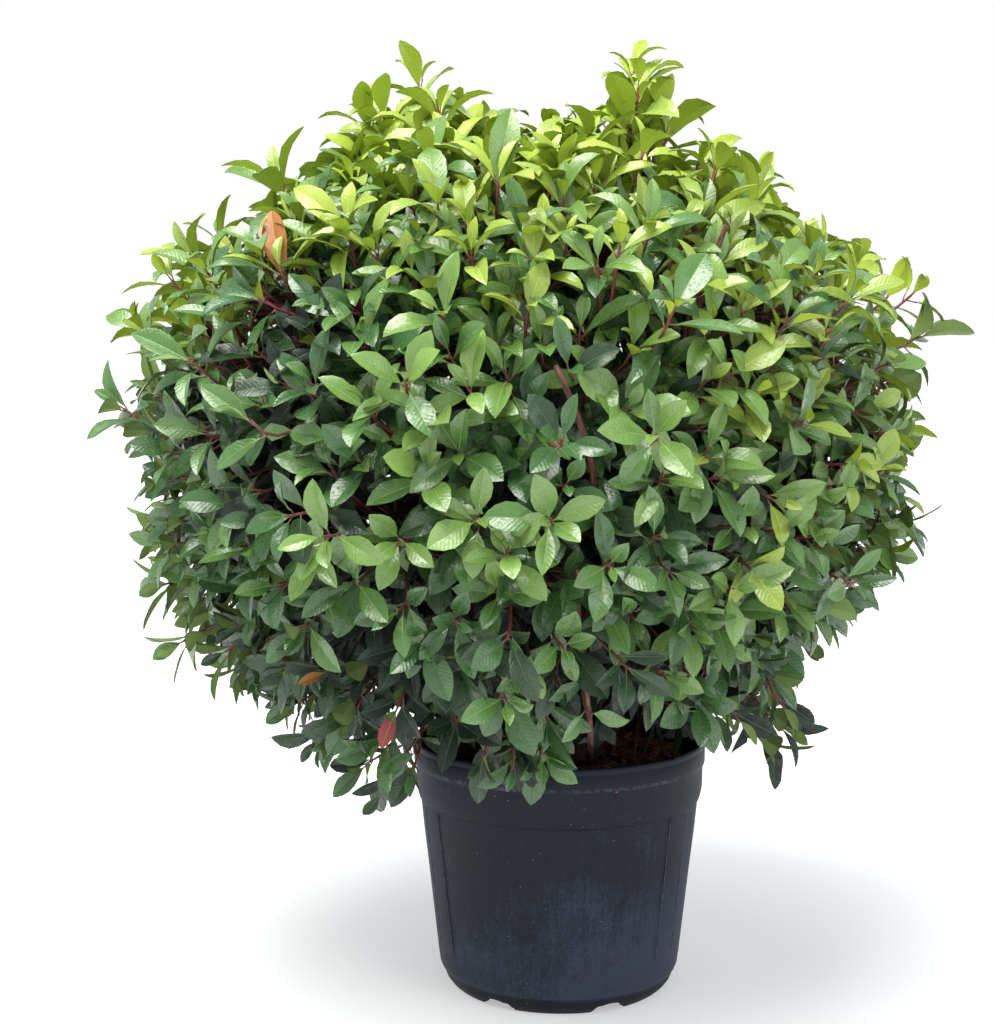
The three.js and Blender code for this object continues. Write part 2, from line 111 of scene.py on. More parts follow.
def turn_from(turns: Array, start: Array | float) -> Array:
    """The shortest turn from one bearing to others, from -180 to 180 degrees."""
    return (turns - start + 180) % 360 - 180


def bell(directions: Array, turn: float, lift: float, spread: float) -> Array:
    """A bell curve of the angle from one direction: 1 there, and fading over the spread in degrees."""
    cosine = np.clip(directions @ direction_of(turn, lift), -1, 1)
    return np.exp(-((np.arccos(cosine) / np.radians(spread)) ** 2))


def bezier(controls: Array, shares: Array) -> tuple[Array, Array]:
    """Points and tangents of cubic curves: the usual sum of four controls with cubic weights.

    Args:
        controls: (curves, 4, 3) control points.
        shares: (curves, steps) or (steps,) places along each curve, from 0 to 1.

    Returns:
        (curves, steps, 3) points and unit tangents.
    """
    t = np.broadcast_to(shares, (len(controls), np.shape(shares)[-1]))[..., None]
    a, b, c, d = (controls[:, index, None, :] for index in range(4))
    points = (1 - t) ** 3 * a + 3 * (1 - t) ** 2 * t * b + 3 * (1 - t) * t**2 * c + t**3 * d
    slopes = (1 - t) ** 2 * (b - a) + 2 * (1 - t) * t * (c - b) + t**2 * (d - c)
    return points, unit(slopes)


@dataclass
class Surface:
    """A mesh in the making: arrays of points and faces that are joined before Blender gets them."""

    points: list[Array] = field(default_factory=list)
    quads: list[Array] = field(default_factory=list)
    triangles: list[Array] = field(default_factory=list)
    maps: list[Array] = field(default_factory=list)
    count: int = 0

    def add(self, points: Array, quads: Array, triangles: Array, flat: Array | None = None) -> None:
        """Adds shapes that share one layout of faces.

        Args:
            points: (shapes, points, 3) places.
            quads: (faces, 4) corner numbers within one shape.
            triangles: (faces, 3) corner numbers within one shape.
            flat: (shapes, points, 2) places on each shape's own flat pattern, in metres, or none.
        """
        shapes, each = points.shape[:2]
        starts = self.count + (np.arange(shapes) * each)[:, None, None]
        self.quads.append((quads + starts).reshape(-1, 4))
        self.triangles.append((triangles + starts).reshape(-1, 3))
        self.points.append(points.reshape(-1, 3))
        self.maps.append(np.zeros((shapes * each, 2)) if flat is None else flat.reshape(-1, 2))
        self.count += shapes * each

    def piece(
        self, name: str, material: bpy.types.Material, slot: str, *nodes: str, smooth: bool = True
    ) -> None:
        """Makes the Blender object, at the origin, riding on the plant's one body.

        Args:
            name: the piece's name.
            material: its one material.
            slot: the record's material slot, which is not used.
            nodes: the solids that it takes the place of.
            smooth: whether its faces are shaded smoothly.
        """
        points = np.concatenate(self.points).astype(np.float32)
        quads, triangles = np.concatenate(self.quads), np.concatenate(self.triangles)
        corners = np.concatenate([quads.ravel(), triangles.ravel()]).astype(np.int32)
        sizes = np.repeat([4, 3], [len(quads), len(triangles)])
        starts = (np.cumsum(sizes) - sizes).astype(np.int32)
        mesh = bpy.data.meshes.new(name)
        mesh.vertices.add(len(points))
        mesh.vertices.foreach_set("co", points.ravel())
        mesh.loops.add(len(corners))
        mesh.loops.foreach_set("vertex_index", corners)
        mesh.polygons.add(len(starts))
        mesh.polygons.foreach_set("loop_start", starts)
        mesh.polygons.foreach_set("use_smooth", np.full(len(starts), smooth))
        mesh.update(calc_edges=True)
        pattern = mesh.uv_layers.new(name="pattern")
        flat = np.concatenate(self.maps).astype(np.float32)
        pattern.data.foreach_set("uv", flat[corners].ravel())
        mesh.validate()
        mesh.materials.append(material)
        made = bpy.data.objects.new(name, mesh)
        bpy.context.scene.collection.objects.link(made)
        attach(made, "root")
        if nodes:
            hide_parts(*nodes)
        LOG.info("%s: %d triangles", name, 2 * len(quads) + len(triangles))


def grid_faces(rows: int, columns: int, turned: bool = False) -> Array:
    """Quads of a grid of points, numbered row by row, facing rows times columns, or the other way.

    Args:
        rows: rows of points.
        columns: points in a row.
        turned: whether they face the other way.

    Returns:
        (faces, 4) numbers of points.
    """
    first = (np.arange(rows - 1)[:, None] * columns + np.arange(columns - 1)).ravel()
    corners = [first, first + columns, first + columns + 1, first + 1]
    return np.stack(corners[::-1] if turned else corners, axis=-1)


def tube_faces(rings: int, sides: int) -> tuple[Array, Array]:
    """Faces of a closed tube: rings of points one after another, then one point for each end.

    Args:
        rings: the number of rings.
        sides: the number of points in a ring.

    Returns:
        The quads of the wall and the triangles of the two ends.
    """
    first = (np.arange(rings - 1)[:, None] * sides + np.arange(sides)).ravel()
    after = (np.arange(rings - 1)[:, None] * sides + (np.arange(sides) + 1) % sides).ravel()
    quads = np.stack([first, after, after + sides, first + sides], axis=-1)
    corner = np.arange(sides)
    following = (corner + 1) % sides
    last = (rings - 1) * sides
    foot = np.stack([following, corner, np.full(sides, rings * sides)], axis=-1)
    tip = np.stack([last + corner, last + following, np.full(sides, rings * sides + 1)], axis=-1)
    return quads, np.concatenate([foot, tip])


def add_tubes(
    surface: Surface, controls: Array, radii: Array, sides: int, relief: Array | float = 1.0
) -> None:
    """Sweeps a circle along cubic curves. Each ring is square to the tangent, from one steady axis.

    Args:
        surface: gets the closed tubes, with a flat pattern of the turn and the run in metres.
        controls: (tubes, 4, 3) control points.
        radii: (rings,) or (tubes, rings) radius of each ring.
        sides: points in a ring.
        relief: one factor on the radius, or (tubes, rings, sides) of them.
    """
    count, rings = len(controls), radii.shape[-1]
    shares = np.linspace(0, 1, rings)
    centres, tangents = bezier(controls, shares)
    chord = unit(controls[:, 3] - controls[:, 0])
    steady = np.where(np.abs(chord[:, :1]) < STEEP, [[1.0, 0.0, 0.0]], [[0.0, 1.0, 0.0]])
    across = square_to(np.broadcast_to(steady[:, None], tangents.shape), tangents)[:, :, None]
    beside = np.cross(tangents, across[:, :, 0])[:, :, None]
    angles = round_turns(sides)
    radii = np.broadcast_to(radii, (count, rings))[..., None]
    circle = np.cos(angles)[:, None] * across + np.sin(angles)[:, None] * beside
    wall = (centres[:, :, None] + (radii * relief)[..., None] * circle).reshape(count, -1, 3)
    length = np.linalg.norm(np.diff(centres, axis=1), axis=2).sum(axis=1)
    run = shares[:, None] * length[:, None, None]
    flat = np.stack(np.broadcast_arrays(angles * radii, run), axis=-1).reshape(count, -1, 2)
    points = np.concatenate([wall, centres[:, [0, -1]]], axis=1)
    flat = np.concatenate([flat, flat[:, [0, -1]]], axis=1)
    surface.add(points, *tube_faces(rings, sides), flat)


Values = dict[str | int, object]  # by a property's name, or by an input's name or number
SPAN = ("From Min", "From Max", "To Min", "To Max")  # inputs of a map range, in this order


def add_node(
    tree: bpy.types.NodeTree, kind: str, settings: Values, links: Values | None = None
) -> bpy.types.Node:
    """Adds one node with its settings and links.

    Args:
        tree: the material's node tree.
        kind: the node's type without the word ShaderNode in front.
        settings: its values. The stops of a colour ramp are places with hex colours.
        links: what feeds each input, which is an output or a node, for its first output.

    Returns:
        The new node.
    """
    node = tree.nodes.new(f"ShaderNode{kind}")
    for name, value in settings.items():
        if name == "stops":
            marks = node.color_ramp.elements
            while len(marks) < len(value):
                marks.new(0.5)
            for mark, (place, colour) in zip(marks, value):
                mark.position = place
                mark.color = linear(colour)
        elif isinstance(name, int) or name in node.inputs:
            node.inputs[name].default_value = value
        else:
            setattr(node, name, value)
    for name, source in (links or {}).items():
        output = source.outputs[0] if isinstance(source, bpy.types.Node) else source
        tree.links.new(output, node.inputs[name])
    return node


@dataclass(frozen=True)
class Finish:
    """A finish: one material, whose patterns each kind of finish lays out for itself."""

    name: str

    def lay_out(self, tree: bpy.types.NodeTree) -> tuple[Values, Values]:
        """Adds the nodes of the patterns.

        Args:
            tree: the material's node tree.

        Returns:
            The surface's settings, and its links.
        """
        raise NotImplementedError

    def material(self) -> bpy.types.Material:
        """Builds the node material.

        Returns:
            The material, with the tree that `lay_out` fills.
        """
        made = bpy.data.materials.new(self.name)
        made.use_nodes = True
        made.node_tree.nodes.clear()
        settings, links = self.lay_out(made.node_tree)
        shader = add_node(made.node_tree, "BsdfPrincipled", settings, links)
        add_node(made.node_tree, "OutputMaterial", {}, {"Surface": shader})
        return made


@dataclass(frozen=True)
class LeafFinish(Finish):
    """A living evergreen leaf blade: a waxy, slightly wet skin over side veins, which are soft ridges.

    The colour is one plain value. The wax gives a clear coat, the veins and the fine grain a relief.
    """

    colour: str
    roughness: float = 0.4
    coat: float = 0.3
    vein_spacing: float = 0.0052  # real side veins are about 5 mm apart
    vein_slope: float = -0.75  # rise of a side vein towards the tip for each step out to the edge
    vein_depth: float = 0.00012
    wet_patch: float = 1 / 140  # the film of rain is uneven over about 7 mm
    drop_spacing: float = 0.0048  # beads of water about 5 mm apart in the clear coat
    grain: float = 0.0018  # real cells are too fine to show, so the skin's grain is drawn this coarse

    def lay_out(self, tree: bpy.types.NodeTree) -> tuple[Values, Values]:
        """Adds the nodes of the patterns.

        Args:
            tree: the material's node tree.

        Returns:
            The surface's settings, and its links.
        """
        place = add_node(tree, "UVMap", {"uv_map": "pattern"})
        parts = add_node(tree, "SeparateXYZ", {}, {"Vector": place}).outputs
        aside = add_node(tree, "Math", {"operation": "ABSOLUTE"}, {0: parts["X"]})
        slanted = add_node(
            tree, "Math", {"operation": "MULTIPLY_ADD", 1: self.vein_slope}, {0: aside, 2: parts["Y"]}
        )
        waves = 2 * np.pi / self.vein_spacing
        phase = add_node(tree, "Math", {"operation": "MULTIPLY", 1: waves}, {0: slanted})
        vein = add_node(tree, "Math", {"operation": "SINE"}, {0: phase})
        body = {"Vector": add_node(tree, "TexCoord", {}).outputs["Object"]}
        grain = add_node(tree, "TexNoise", {"Scale": 1 / self.grain, "Detail": 2.0}, body)
        wet = add_node(
            tree, "TexNoise", {"Scale": 1 / self.wet_patch, "Detail": 4.0, "Roughness": 0.7}, body
        )
        dry, soaked = self.roughness - 0.18, self.roughness + 0.22
        shine = add_node(tree, "MapRange", dict(zip(SPAN, (0.4, 0.6, dry, soaked))), {"Value": wet})
        drops = {"Scale": 1 / self.drop_spacing, "Randomness": 1.0}
        cells = add_node(tree, "TexVoronoi", drops, body)
        bead = add_node(tree, "MapRange", dict(zip(SPAN, (0.16, 0.34, 1.0, 0.0))), {"Value": cells})
        reliefs = []
        for strength, depth, height in (
            (0.4, self.vein_depth, vein),
            (0.35, 0.0004, grain),
            (0.4, 0.0018, wet),
            (1.0, 0.0012, bead),
        ):
            under = {"Normal": reliefs[-1]} if reliefs else {}
            bump = {"Strength": strength, "Distance": depth}
            reliefs.append(add_node(tree, "Bump", bump, {"Height": height} | under))
        coat = {"Coat Weight": self.coat, "Coat Roughness": 0.15}
        links = {"Roughness": shine, "Normal": reliefs[1], "Coat Normal": reliefs[3]}
        return {"Base Color": linear(self.colour), "IOR": 1.45} | coat, links


@dataclass(frozen=True)
class RindFinish(Finish):
    """The smooth rind of a leaf's midrib, its stalk or a young shoot: fleshy, with a soft shine."""

    colour: str
    roughness: float = 0.45
    grain: float = 0.0025  # real hairs are finer, so the skin's grain is drawn this coarse

    def lay_out(self, tree: bpy.types.NodeTree) -> tuple[Values, Values]:
        """Adds the nodes of the patterns.

        Args:
            tree: the material's node tree.

        Returns:
            The surface's settings, and its links.
        """
        body = {"Vector": add_node(tree, "TexCoord", {}).outputs["Object"]}
        grain = add_node(tree, "TexNoise", {"Scale": 1 / self.grain, "Detail": 2.0}, body)
        skin = add_node(tree, "Bump", {"Strength": 0.4, "Distance": 0.0004}, {"Height": grain})
        looks = {"Base Color": linear(self.colour), "Roughness": self.roughness, "IOR": 1.45}
        return looks, {"Normal": skin}


@dataclass(frozen=True)
class BarkFinish(Finish):
    """Thin brown shrub bark: fine cracks along the limb, grey where it has weathered."""

    dark: str = "#2a1c17"
    middle: str = "#4c382e"
    pale: str = "#7b6a5e"
    crack: float = 0.003  # cracks about 3 mm apart round the limb
    stretch: float = 0.16  # and about six times as long

    def lay_out(self, tree: bpy.types.NodeTree) -> tuple[Values, Values]:
        """Adds the nodes of the patterns.

        Args:
            tree: the material's node tree.

        Returns:
            The surface's settings, and its links.
        """
        place = add_node(tree, "UVMap", {"uv_map": "pattern"})
        scale = (1 / self.crack, self.stretch / self.crack, 1.0)
        stretched = {"Vector": add_node(tree, "Mapping", {"Scale": scale}, {"Vector": place})}
        noise = {"Scale": 1.0, "Detail": 4.0, "Roughness": 0.6}
        cracks = add_node(tree, "TexNoise", noise, stretched)
        stops = [(0.3, self.dark), (0.52, self.middle), (0.75, self.pale)]
        colour = add_node(tree, "ValToRGB", {"stops": stops}, {"Fac": cracks})
        relief = add_node(tree, "Bump", {"Strength": 0.8, "Distance": 0.0012}, {"Height": cracks})
        return {"Roughness": 0.85, "IOR": 1.5}, {"Base Color": colour, "Normal": relief}


@dataclass(frozen=True)
class PotFinish(Finish):
    """Black recycled polypropylene, injection moulded: a satin skin with dust, faint runs and specks.

    The dust is a sum of its clouds, 0.28 of the mottles, 0.22 of the runs and what has settled low
    down. The colour is darker in a band round the foot. The lip above the collar is scuffed, and
    under the collar's step a line of painted shade shows dark.
    """

    name: str = "moulded_black_polypropylene"
    deep: str = "#070b12"
    plain: str = "#101722"
    dusty: str = "#2d3545"
    speck: str = "#7f8697"
    scuff: str = "#565d6e"
    seam: str = "#04060a"
    # Repeats in a metre, detail and roughness of patterns.
    clouds: Triple = (5.0, 8.0, 0.7)  # 200 mm across
    mottles: Triple = (320.0, 2.0, 0.6)  # 3 mm
    rubs: Triple = (60.0, 4.0, 0.7)  # 17 mm
    grain: Triple = (700.0, 2.0, 0.5)  # 1.4 mm, coarser than the real one, to show
    runs: Triple = (210.0, 210.0, 7.0)  # 5 mm wide and 140 mm tall, in a metre
    grit: float = 130.0  # specks in a metre, 8 mm apart
    collar: Pair = (0.2972, 0.0024)  # height of the scuffed edge, and half its width
    step: Pair = (0.2478, 0.0010)  # the same for the painted shade under the collar's step

    def lay_out(self, tree: bpy.types.NodeTree) -> tuple[Values, Values]:
        """Adds the nodes of the patterns.

        Args:
            tree: the material's node tree.

        Returns:
            The surface's settings, and its links.
        """
        body = {"Vector": add_node(tree, "TexCoord", {}).outputs["Object"]}
        parts = add_node(tree, "SeparateXYZ", {}, body).outputs
        clouds, mottles, rubs, grain = (
            add_node(tree, "TexNoise", {"Scale": scale, "Detail": detail, "Roughness": rough}, body)
            for scale, detail, rough in (self.clouds, self.mottles, self.rubs, self.grain)
        )
        upright = {"Vector": add_node(tree, "Mapping", {"Scale": self.runs}, body)}
        runs = add_node(tree, "TexNoise", {"Scale": 1.0, "Detail": 3.0}, upright)
        grit = add_node(tree, "TexVoronoi", {"Scale": self.grit, "Randomness": 1.0}, body).outputs
        settled, lighter_side, foot, worn, near, shine = (
            add_node(tree, "MapRange", dict(zip(SPAN, span)), {"Value": source})
            for source, *span in (
                (parts["Z"], 0.03, 0.19, 0.17, 0.0),
                (parts["X"], 0.0, 0.15, 0.0, 0.5),
                (parts["Z"], 0.014, 0.026, 0.62, 1.0),
                (rubs, 0.45, 0.68, 0.0, 0.5),
                (grit["Distance"], 0.05, 0.085, 1.0, 0.0),
                (clouds, 0.3, 0.8, 0.5, 0.75),
            )
        )
        both = add_node(tree, "Math", {"operation": "MULTIPLY_ADD", 1: 0.22}, {0: runs, 2: clouds})
        mottled = add_node(tree, "Math", {"operation": "MULTIPLY_ADD", 1: 0.28}, {0: mottles, 2: both})
        drift = {0: settled, 1: lighter_side, 2: settled}
        drifted = add_node(tree, "Math", {"operation": "MULTIPLY_ADD"}, drift)
        dust = add_node(tree, "Math", {"operation": "ADD"}, {0: mottled, 1: drifted})
        # The colour is darker in a band round the foot.
        dust_darker_at_foot = add_node(tree, "Math", {"operation": "MULTIPLY"}, {0: dust, 1: foot})
        stops = [(0.48, self.deep), (0.76, self.plain), (1.0, self.dusty)]
        colour = add_node(tree, "ValToRGB", {"stops": stops}, {"Fac": dust_darker_at_foot})
        lip, step = (
            add_node(tree, "Math", {"operation": "COMPARE", 1: height, 2: width}, {0: parts["Z"]})
            for height, width in (self.collar, self.step)
        )
        scuffs = add_node(tree, "Math", {"operation": "MULTIPLY"}, {0: lip, 1: worn})
        odd = add_node(tree, "SeparateColor", {}, {"Color": grit["Color"]})
        sparse = add_node(tree, "Math", {"operation": "GREATER_THAN", 1: 0.82}, {0: odd})
        specks = add_node(tree, "Math", {"operation": "MULTIPLY"}, {0: near, 1: sparse})
        # The line under the collar's step is painted shade.
        for share, tone in ((scuffs, self.scuff), (step, self.seam), (specks, self.speck)):
            mix = {"data_type": "RGBA", 7: linear(tone)}
            colour = add_node(tree, "Mix", mix, {0: share, 6: colour}).outputs[2]
        relief = add_node(tree, "Bump", {"Strength": 0.35, "Distance": 0.0005}, {"Height": grain})
        return {"IOR": 1.3}, {"Base Color": colour, "Roughness": shine, "Normal": relief}


@dataclass(frozen=True)
class MulchFinish(Finish):
    """Shredded bark or crumbly soil: matt, with a coarse grain of darker and redder bits."""

    dark: str
    pale: str
    grain: float = 0.006  # crumbs about 6 mm across

    def lay_out(self, tree: bpy.types.NodeTree) -> tuple[Values, Values]:
        """Adds the nodes of the patterns.

        Args:
            tree: the material's node tree.

        Returns:
            The surface's settings, and its links.
        """
        body = {"Vector": add_node(tree, "TexCoord", {}).outputs["Object"]}
        noise = {"Scale": 1 / self.grain, "Detail": 5.0, "Roughness": 0.65}
        crumbs = add_node(tree, "TexNoise", noise, body)
        stops = [(0.35, self.dark), (0.7, self.pale)]
        colour = add_node(tree, "ValToRGB", {"stops": stops}, {"Fac": crumbs})
        relief = add_node(tree, "Bump", {"Strength": 0.9, "Distance": 0.003}, {"Height": crumbs})
        return {"Roughness": 0.9, "IOR": 1.4}, {"Base Color": colour, "Normal": relief}


class Ring(Enum):
    """The four rings of foliage masses.

    Each has its lift above level, its number of masses, the turn of the first one, and the share of
    a stem at which the boughs to them leave it.
    """

    TOP = (64.0, 4, 0.0, 0.99)
    UPPER = (23.0, 7, -90.0, 0.72)
    MIDDLE = (-15.0, 7, -64.0, 0.5)
    SKIRT = (-50.0, 6, -90.0, 0.3)

    @property
    def title(self) -> str:
        """The ring's name as the nodes have it."""
        return self.name.lower()


@dataclass(frozen=True)
class CrownShape:
    """The outline of the foliage as its reach from one centre, with its hem and its open places."""

    centre: Triple = (-0.038, 0.0, 0.740)
    sideways: float = 0.552
    depthwise: float = 0.534
    upwards: float = 0.424
    downwards: float = 0.552
    # Turn, lift, height and the angle over which it fades, of places where shoots stand proud or low.
    peaks: Rows = (
        (0, 70, 0.084, 10), (180, 69, 0.05, 13), (0, 90, -0.042, 12), (0, 43, -0.038, 13),
        (180, 46, -0.032, 13), (-30, -52, -0.022, 14), (-125, -58, 0.016, 14), (180, 24, 0.022, 14),
        (0, 14, 0.014, 10), (78, 62, 0.04, 16), (-90, 58, 0.018, 16),
    )
    # Turn, lift, height, and how wide in turn and in lift, of the ridges and valleys of the leafy
    # surface alone, which the limbs don't follow.
    folds: Rows = (
        (0, 4, -0.032, 60, 30), (0, -33, -0.078, 40, 8), (0, -50, 0.008, 30, 7),
        (0, -35, -0.03, 26, 6), (0, -56, -0.01, 26, 5), (0, -48, 0.044, 26, 5),
        (0, -1, 0.016, 26, 5), (0, 14, 0.028, 30, 7), (0, -7, -0.026, 30, 7),
        (0, 34, -0.032, 30, 7), (0, 49, 0.022, 30, 6), (0, 60, -0.095, 30, 7),
        (0, 72, 0.02, 26, 6), (0, 88, -0.066, 200, 8), (-90, 66, -0.08, 14, 13),
        (90, 72, -0.09, 16, 14), (180, 73, 0.03, 40, 8), (180, -33, -0.024, 30, 7),
        (180, 30, -0.024, 30, 7), (180, 13, -0.012, 40, 12), (180, -26, -0.022, 30, 4),
        (180, -14, -0.056, 30, 6), (180, 21, -0.014, 30, 8), (180, 42, 0.014, 30, 6),
        (180, -48, -0.036, 34, 9),
    )
    hem_height: float = 0.395
    hem_radius: float = 0.34
    # Turn, dip and width of the places where the hem hangs lower.
    hem_dips: Rows = (
        (-146, 0.15, 19), (-103, 0.1, 8), (-20, 0.12, 15), (40, 0.11, 30), (90, 0.11, 30),
        (125, 0.12, 24), (175, 0.1, 16),
    )
    # Turn, lift and spread of open places, and the share of the shoots that are missing there.
    open_places: Rows = (
        (-18, -44, 13, 0.55), (-80, -46, 11, 0.55), (-118, -42, 9, 0.5), (-150, -50, 12, 0.4),
        (60, -40, 14, 0.35), (140, -45, 14, 0.35), (-112, -33, 10, 0.5),
    )
    well_radius: float = 0.150
    rim_radius: float = 0.190
    pot_height: float = 0.325
    mulch_radius: float = 0.168  # over which leaves may lie inside the pot's rim
    mulch_top: float = 0.306

    def reach(self, directions: Array) -> Array:
        """How far the foliage reaches: an ellipsoid, with a bell curve of the angle at each peak.

        Args:
            directions: (..., 3) unit vectors from the crown's centre.

        Returns:
            Metres, for each of them.
        """
        upright = np.where(directions[..., 2] > 0, self.upwards, self.downwards)
        level = np.hypot(directions[..., 0] / self.sideways, directions[..., 1] / self.depthwise)
        reach = 1 / np.hypot(level, directions[..., 2] / upright)
        for turn, lift, height, spread in self.peaks:
            reach = reach + height * bell(directions, turn, lift, spread)
        return reach

    def leafy_reach(self, directions: Array) -> Array:
        """The reach with its folds, which fade as bell curves of the turn and of the lift.

        Args:
            directions: (..., 3) unit vectors from the crown's centre.

        Returns:
            Metres, for each of them.
        """
        turns = np.degrees(np.arctan2(directions[..., 1], directions[..., 0]))
        lifts = np.degrees(np.arcsin(np.clip(directions[..., 2], -1, 1)))
        reach = self.reach(directions)
        for turn, lift, height, wide, tall in self.folds:
            aside = turn_from(turns, turn) * np.cos(np.radians(lift))
            reach = reach + height * np.exp(-((aside / wide) ** 2) - ((lifts - lift) / tall) ** 2)
        return reach

    def share_of_reach(self, points: Array) -> Array:
        """Each point's distance from the centre as a share of the leafy reach in its direction."""
        local = points - np.array(self.centre)
        return np.linalg.norm(local, axis=-1) / self.leafy_reach(unit(local))

    def at(self, directions: Array, shares: Array | float) -> Array:
        """The points in some directions at shares of the reach there."""
        return np.array(self.centre) + directions * (shares * self.reach(directions))[..., None]

    def leafy_at(self, directions: Array, shares: Array | float) -> Array:
        """The points in some directions at shares of the leafy reach there."""
        return np.array(self.centre) + directions * (shares * self.leafy_reach(directions))[..., None]

    def clear_of_pot(self, points: Array, gap: float) -> Array:
        """True where a point is beside or above the pot by the gap, or over the mulch in its rim.

        Args:
            points: (..., 3) places.
            gap: how far to stay away, in metres.

        Returns:
            One truth value for each point.
        """
        radius = np.hypot(points[..., 0], points[..., 1])
        inside = (radius < self.mulch_radius) & (points[..., 2] > self.mulch_top)
        return inside | (radius > self.rim_radius + gap) | (points[..., 2] > self.pot_height + gap)

    def above_hem(self, points: Array, gap: float) -> Array:
        """True where a point is above the foliage's lower hem round the pot by the gap.

        The hem is a level height with dips in it that fade as bell curves of the bearing.

        Args:
            points: (points, 3) places.
            gap: how far to stay above, in metres.

        Returns:
            One truth value for each point.
        """
        bearing = np.degrees(np.arctan2(points[:, 1], points[:, 0]))
        hem = np.full(len(points), self.hem_height)
        for turn, dip, width in self.hem_dips:
            hem -= dip * np.exp(-((turn_from(bearing, turn) / width) ** 2))
        aside = np.hypot(points[:, 0], points[:, 1]) > self.hem_radius
        return aside | (points[:, 2] > hem + gap)

    def thinned(self, points: Array, draws: Array) -> Array:
        """True for the points that fall to the thinning where the foliage is open to the sky.

        Args:
            points: (points, 3) places.
            draws: one number from 0 to 1 for each point.

        Returns:
            One truth value for each point.
        """
        ways = unit(points - np.array(self.centre))
        chance = np.zeros(len(points))
        for turn, lift, spread, most in self.open_places:
            chance = np.maximum(chance, most * bell(ways, turn, lift, spread))
        return draws < chance


@dataclass
class Masses:
    """The directions and names of the foliage masses, ring by ring, as arrays."""

    def __post_init__(self) -> None:
        """Works out the arrays from the rings."""
        names, rings, turns, lifts = [], [], [], []
        for ring in Ring:
            lift, count, first, _ = ring.value
            for index in range(count):
                names.append(f"{ring.title}_{index + 1}")
                rings.append(ring)
                turns.append(first + index * 360 / count)
                lifts.append(lift)
        self.names: list[str] = names
        self.rings: list[Ring] = rings
        self.turns = np.array(turns)
        self.directions = direction_of(self.turns, np.array(lifts))
        self.outs = direction_of(self.turns, 0.0)

    def nearest(self, directions: Array) -> Array:
        """The mass whose space holds each direction: the one that points most nearly its way."""
        return np.argmax(directions @ self.directions.T, axis=-1)


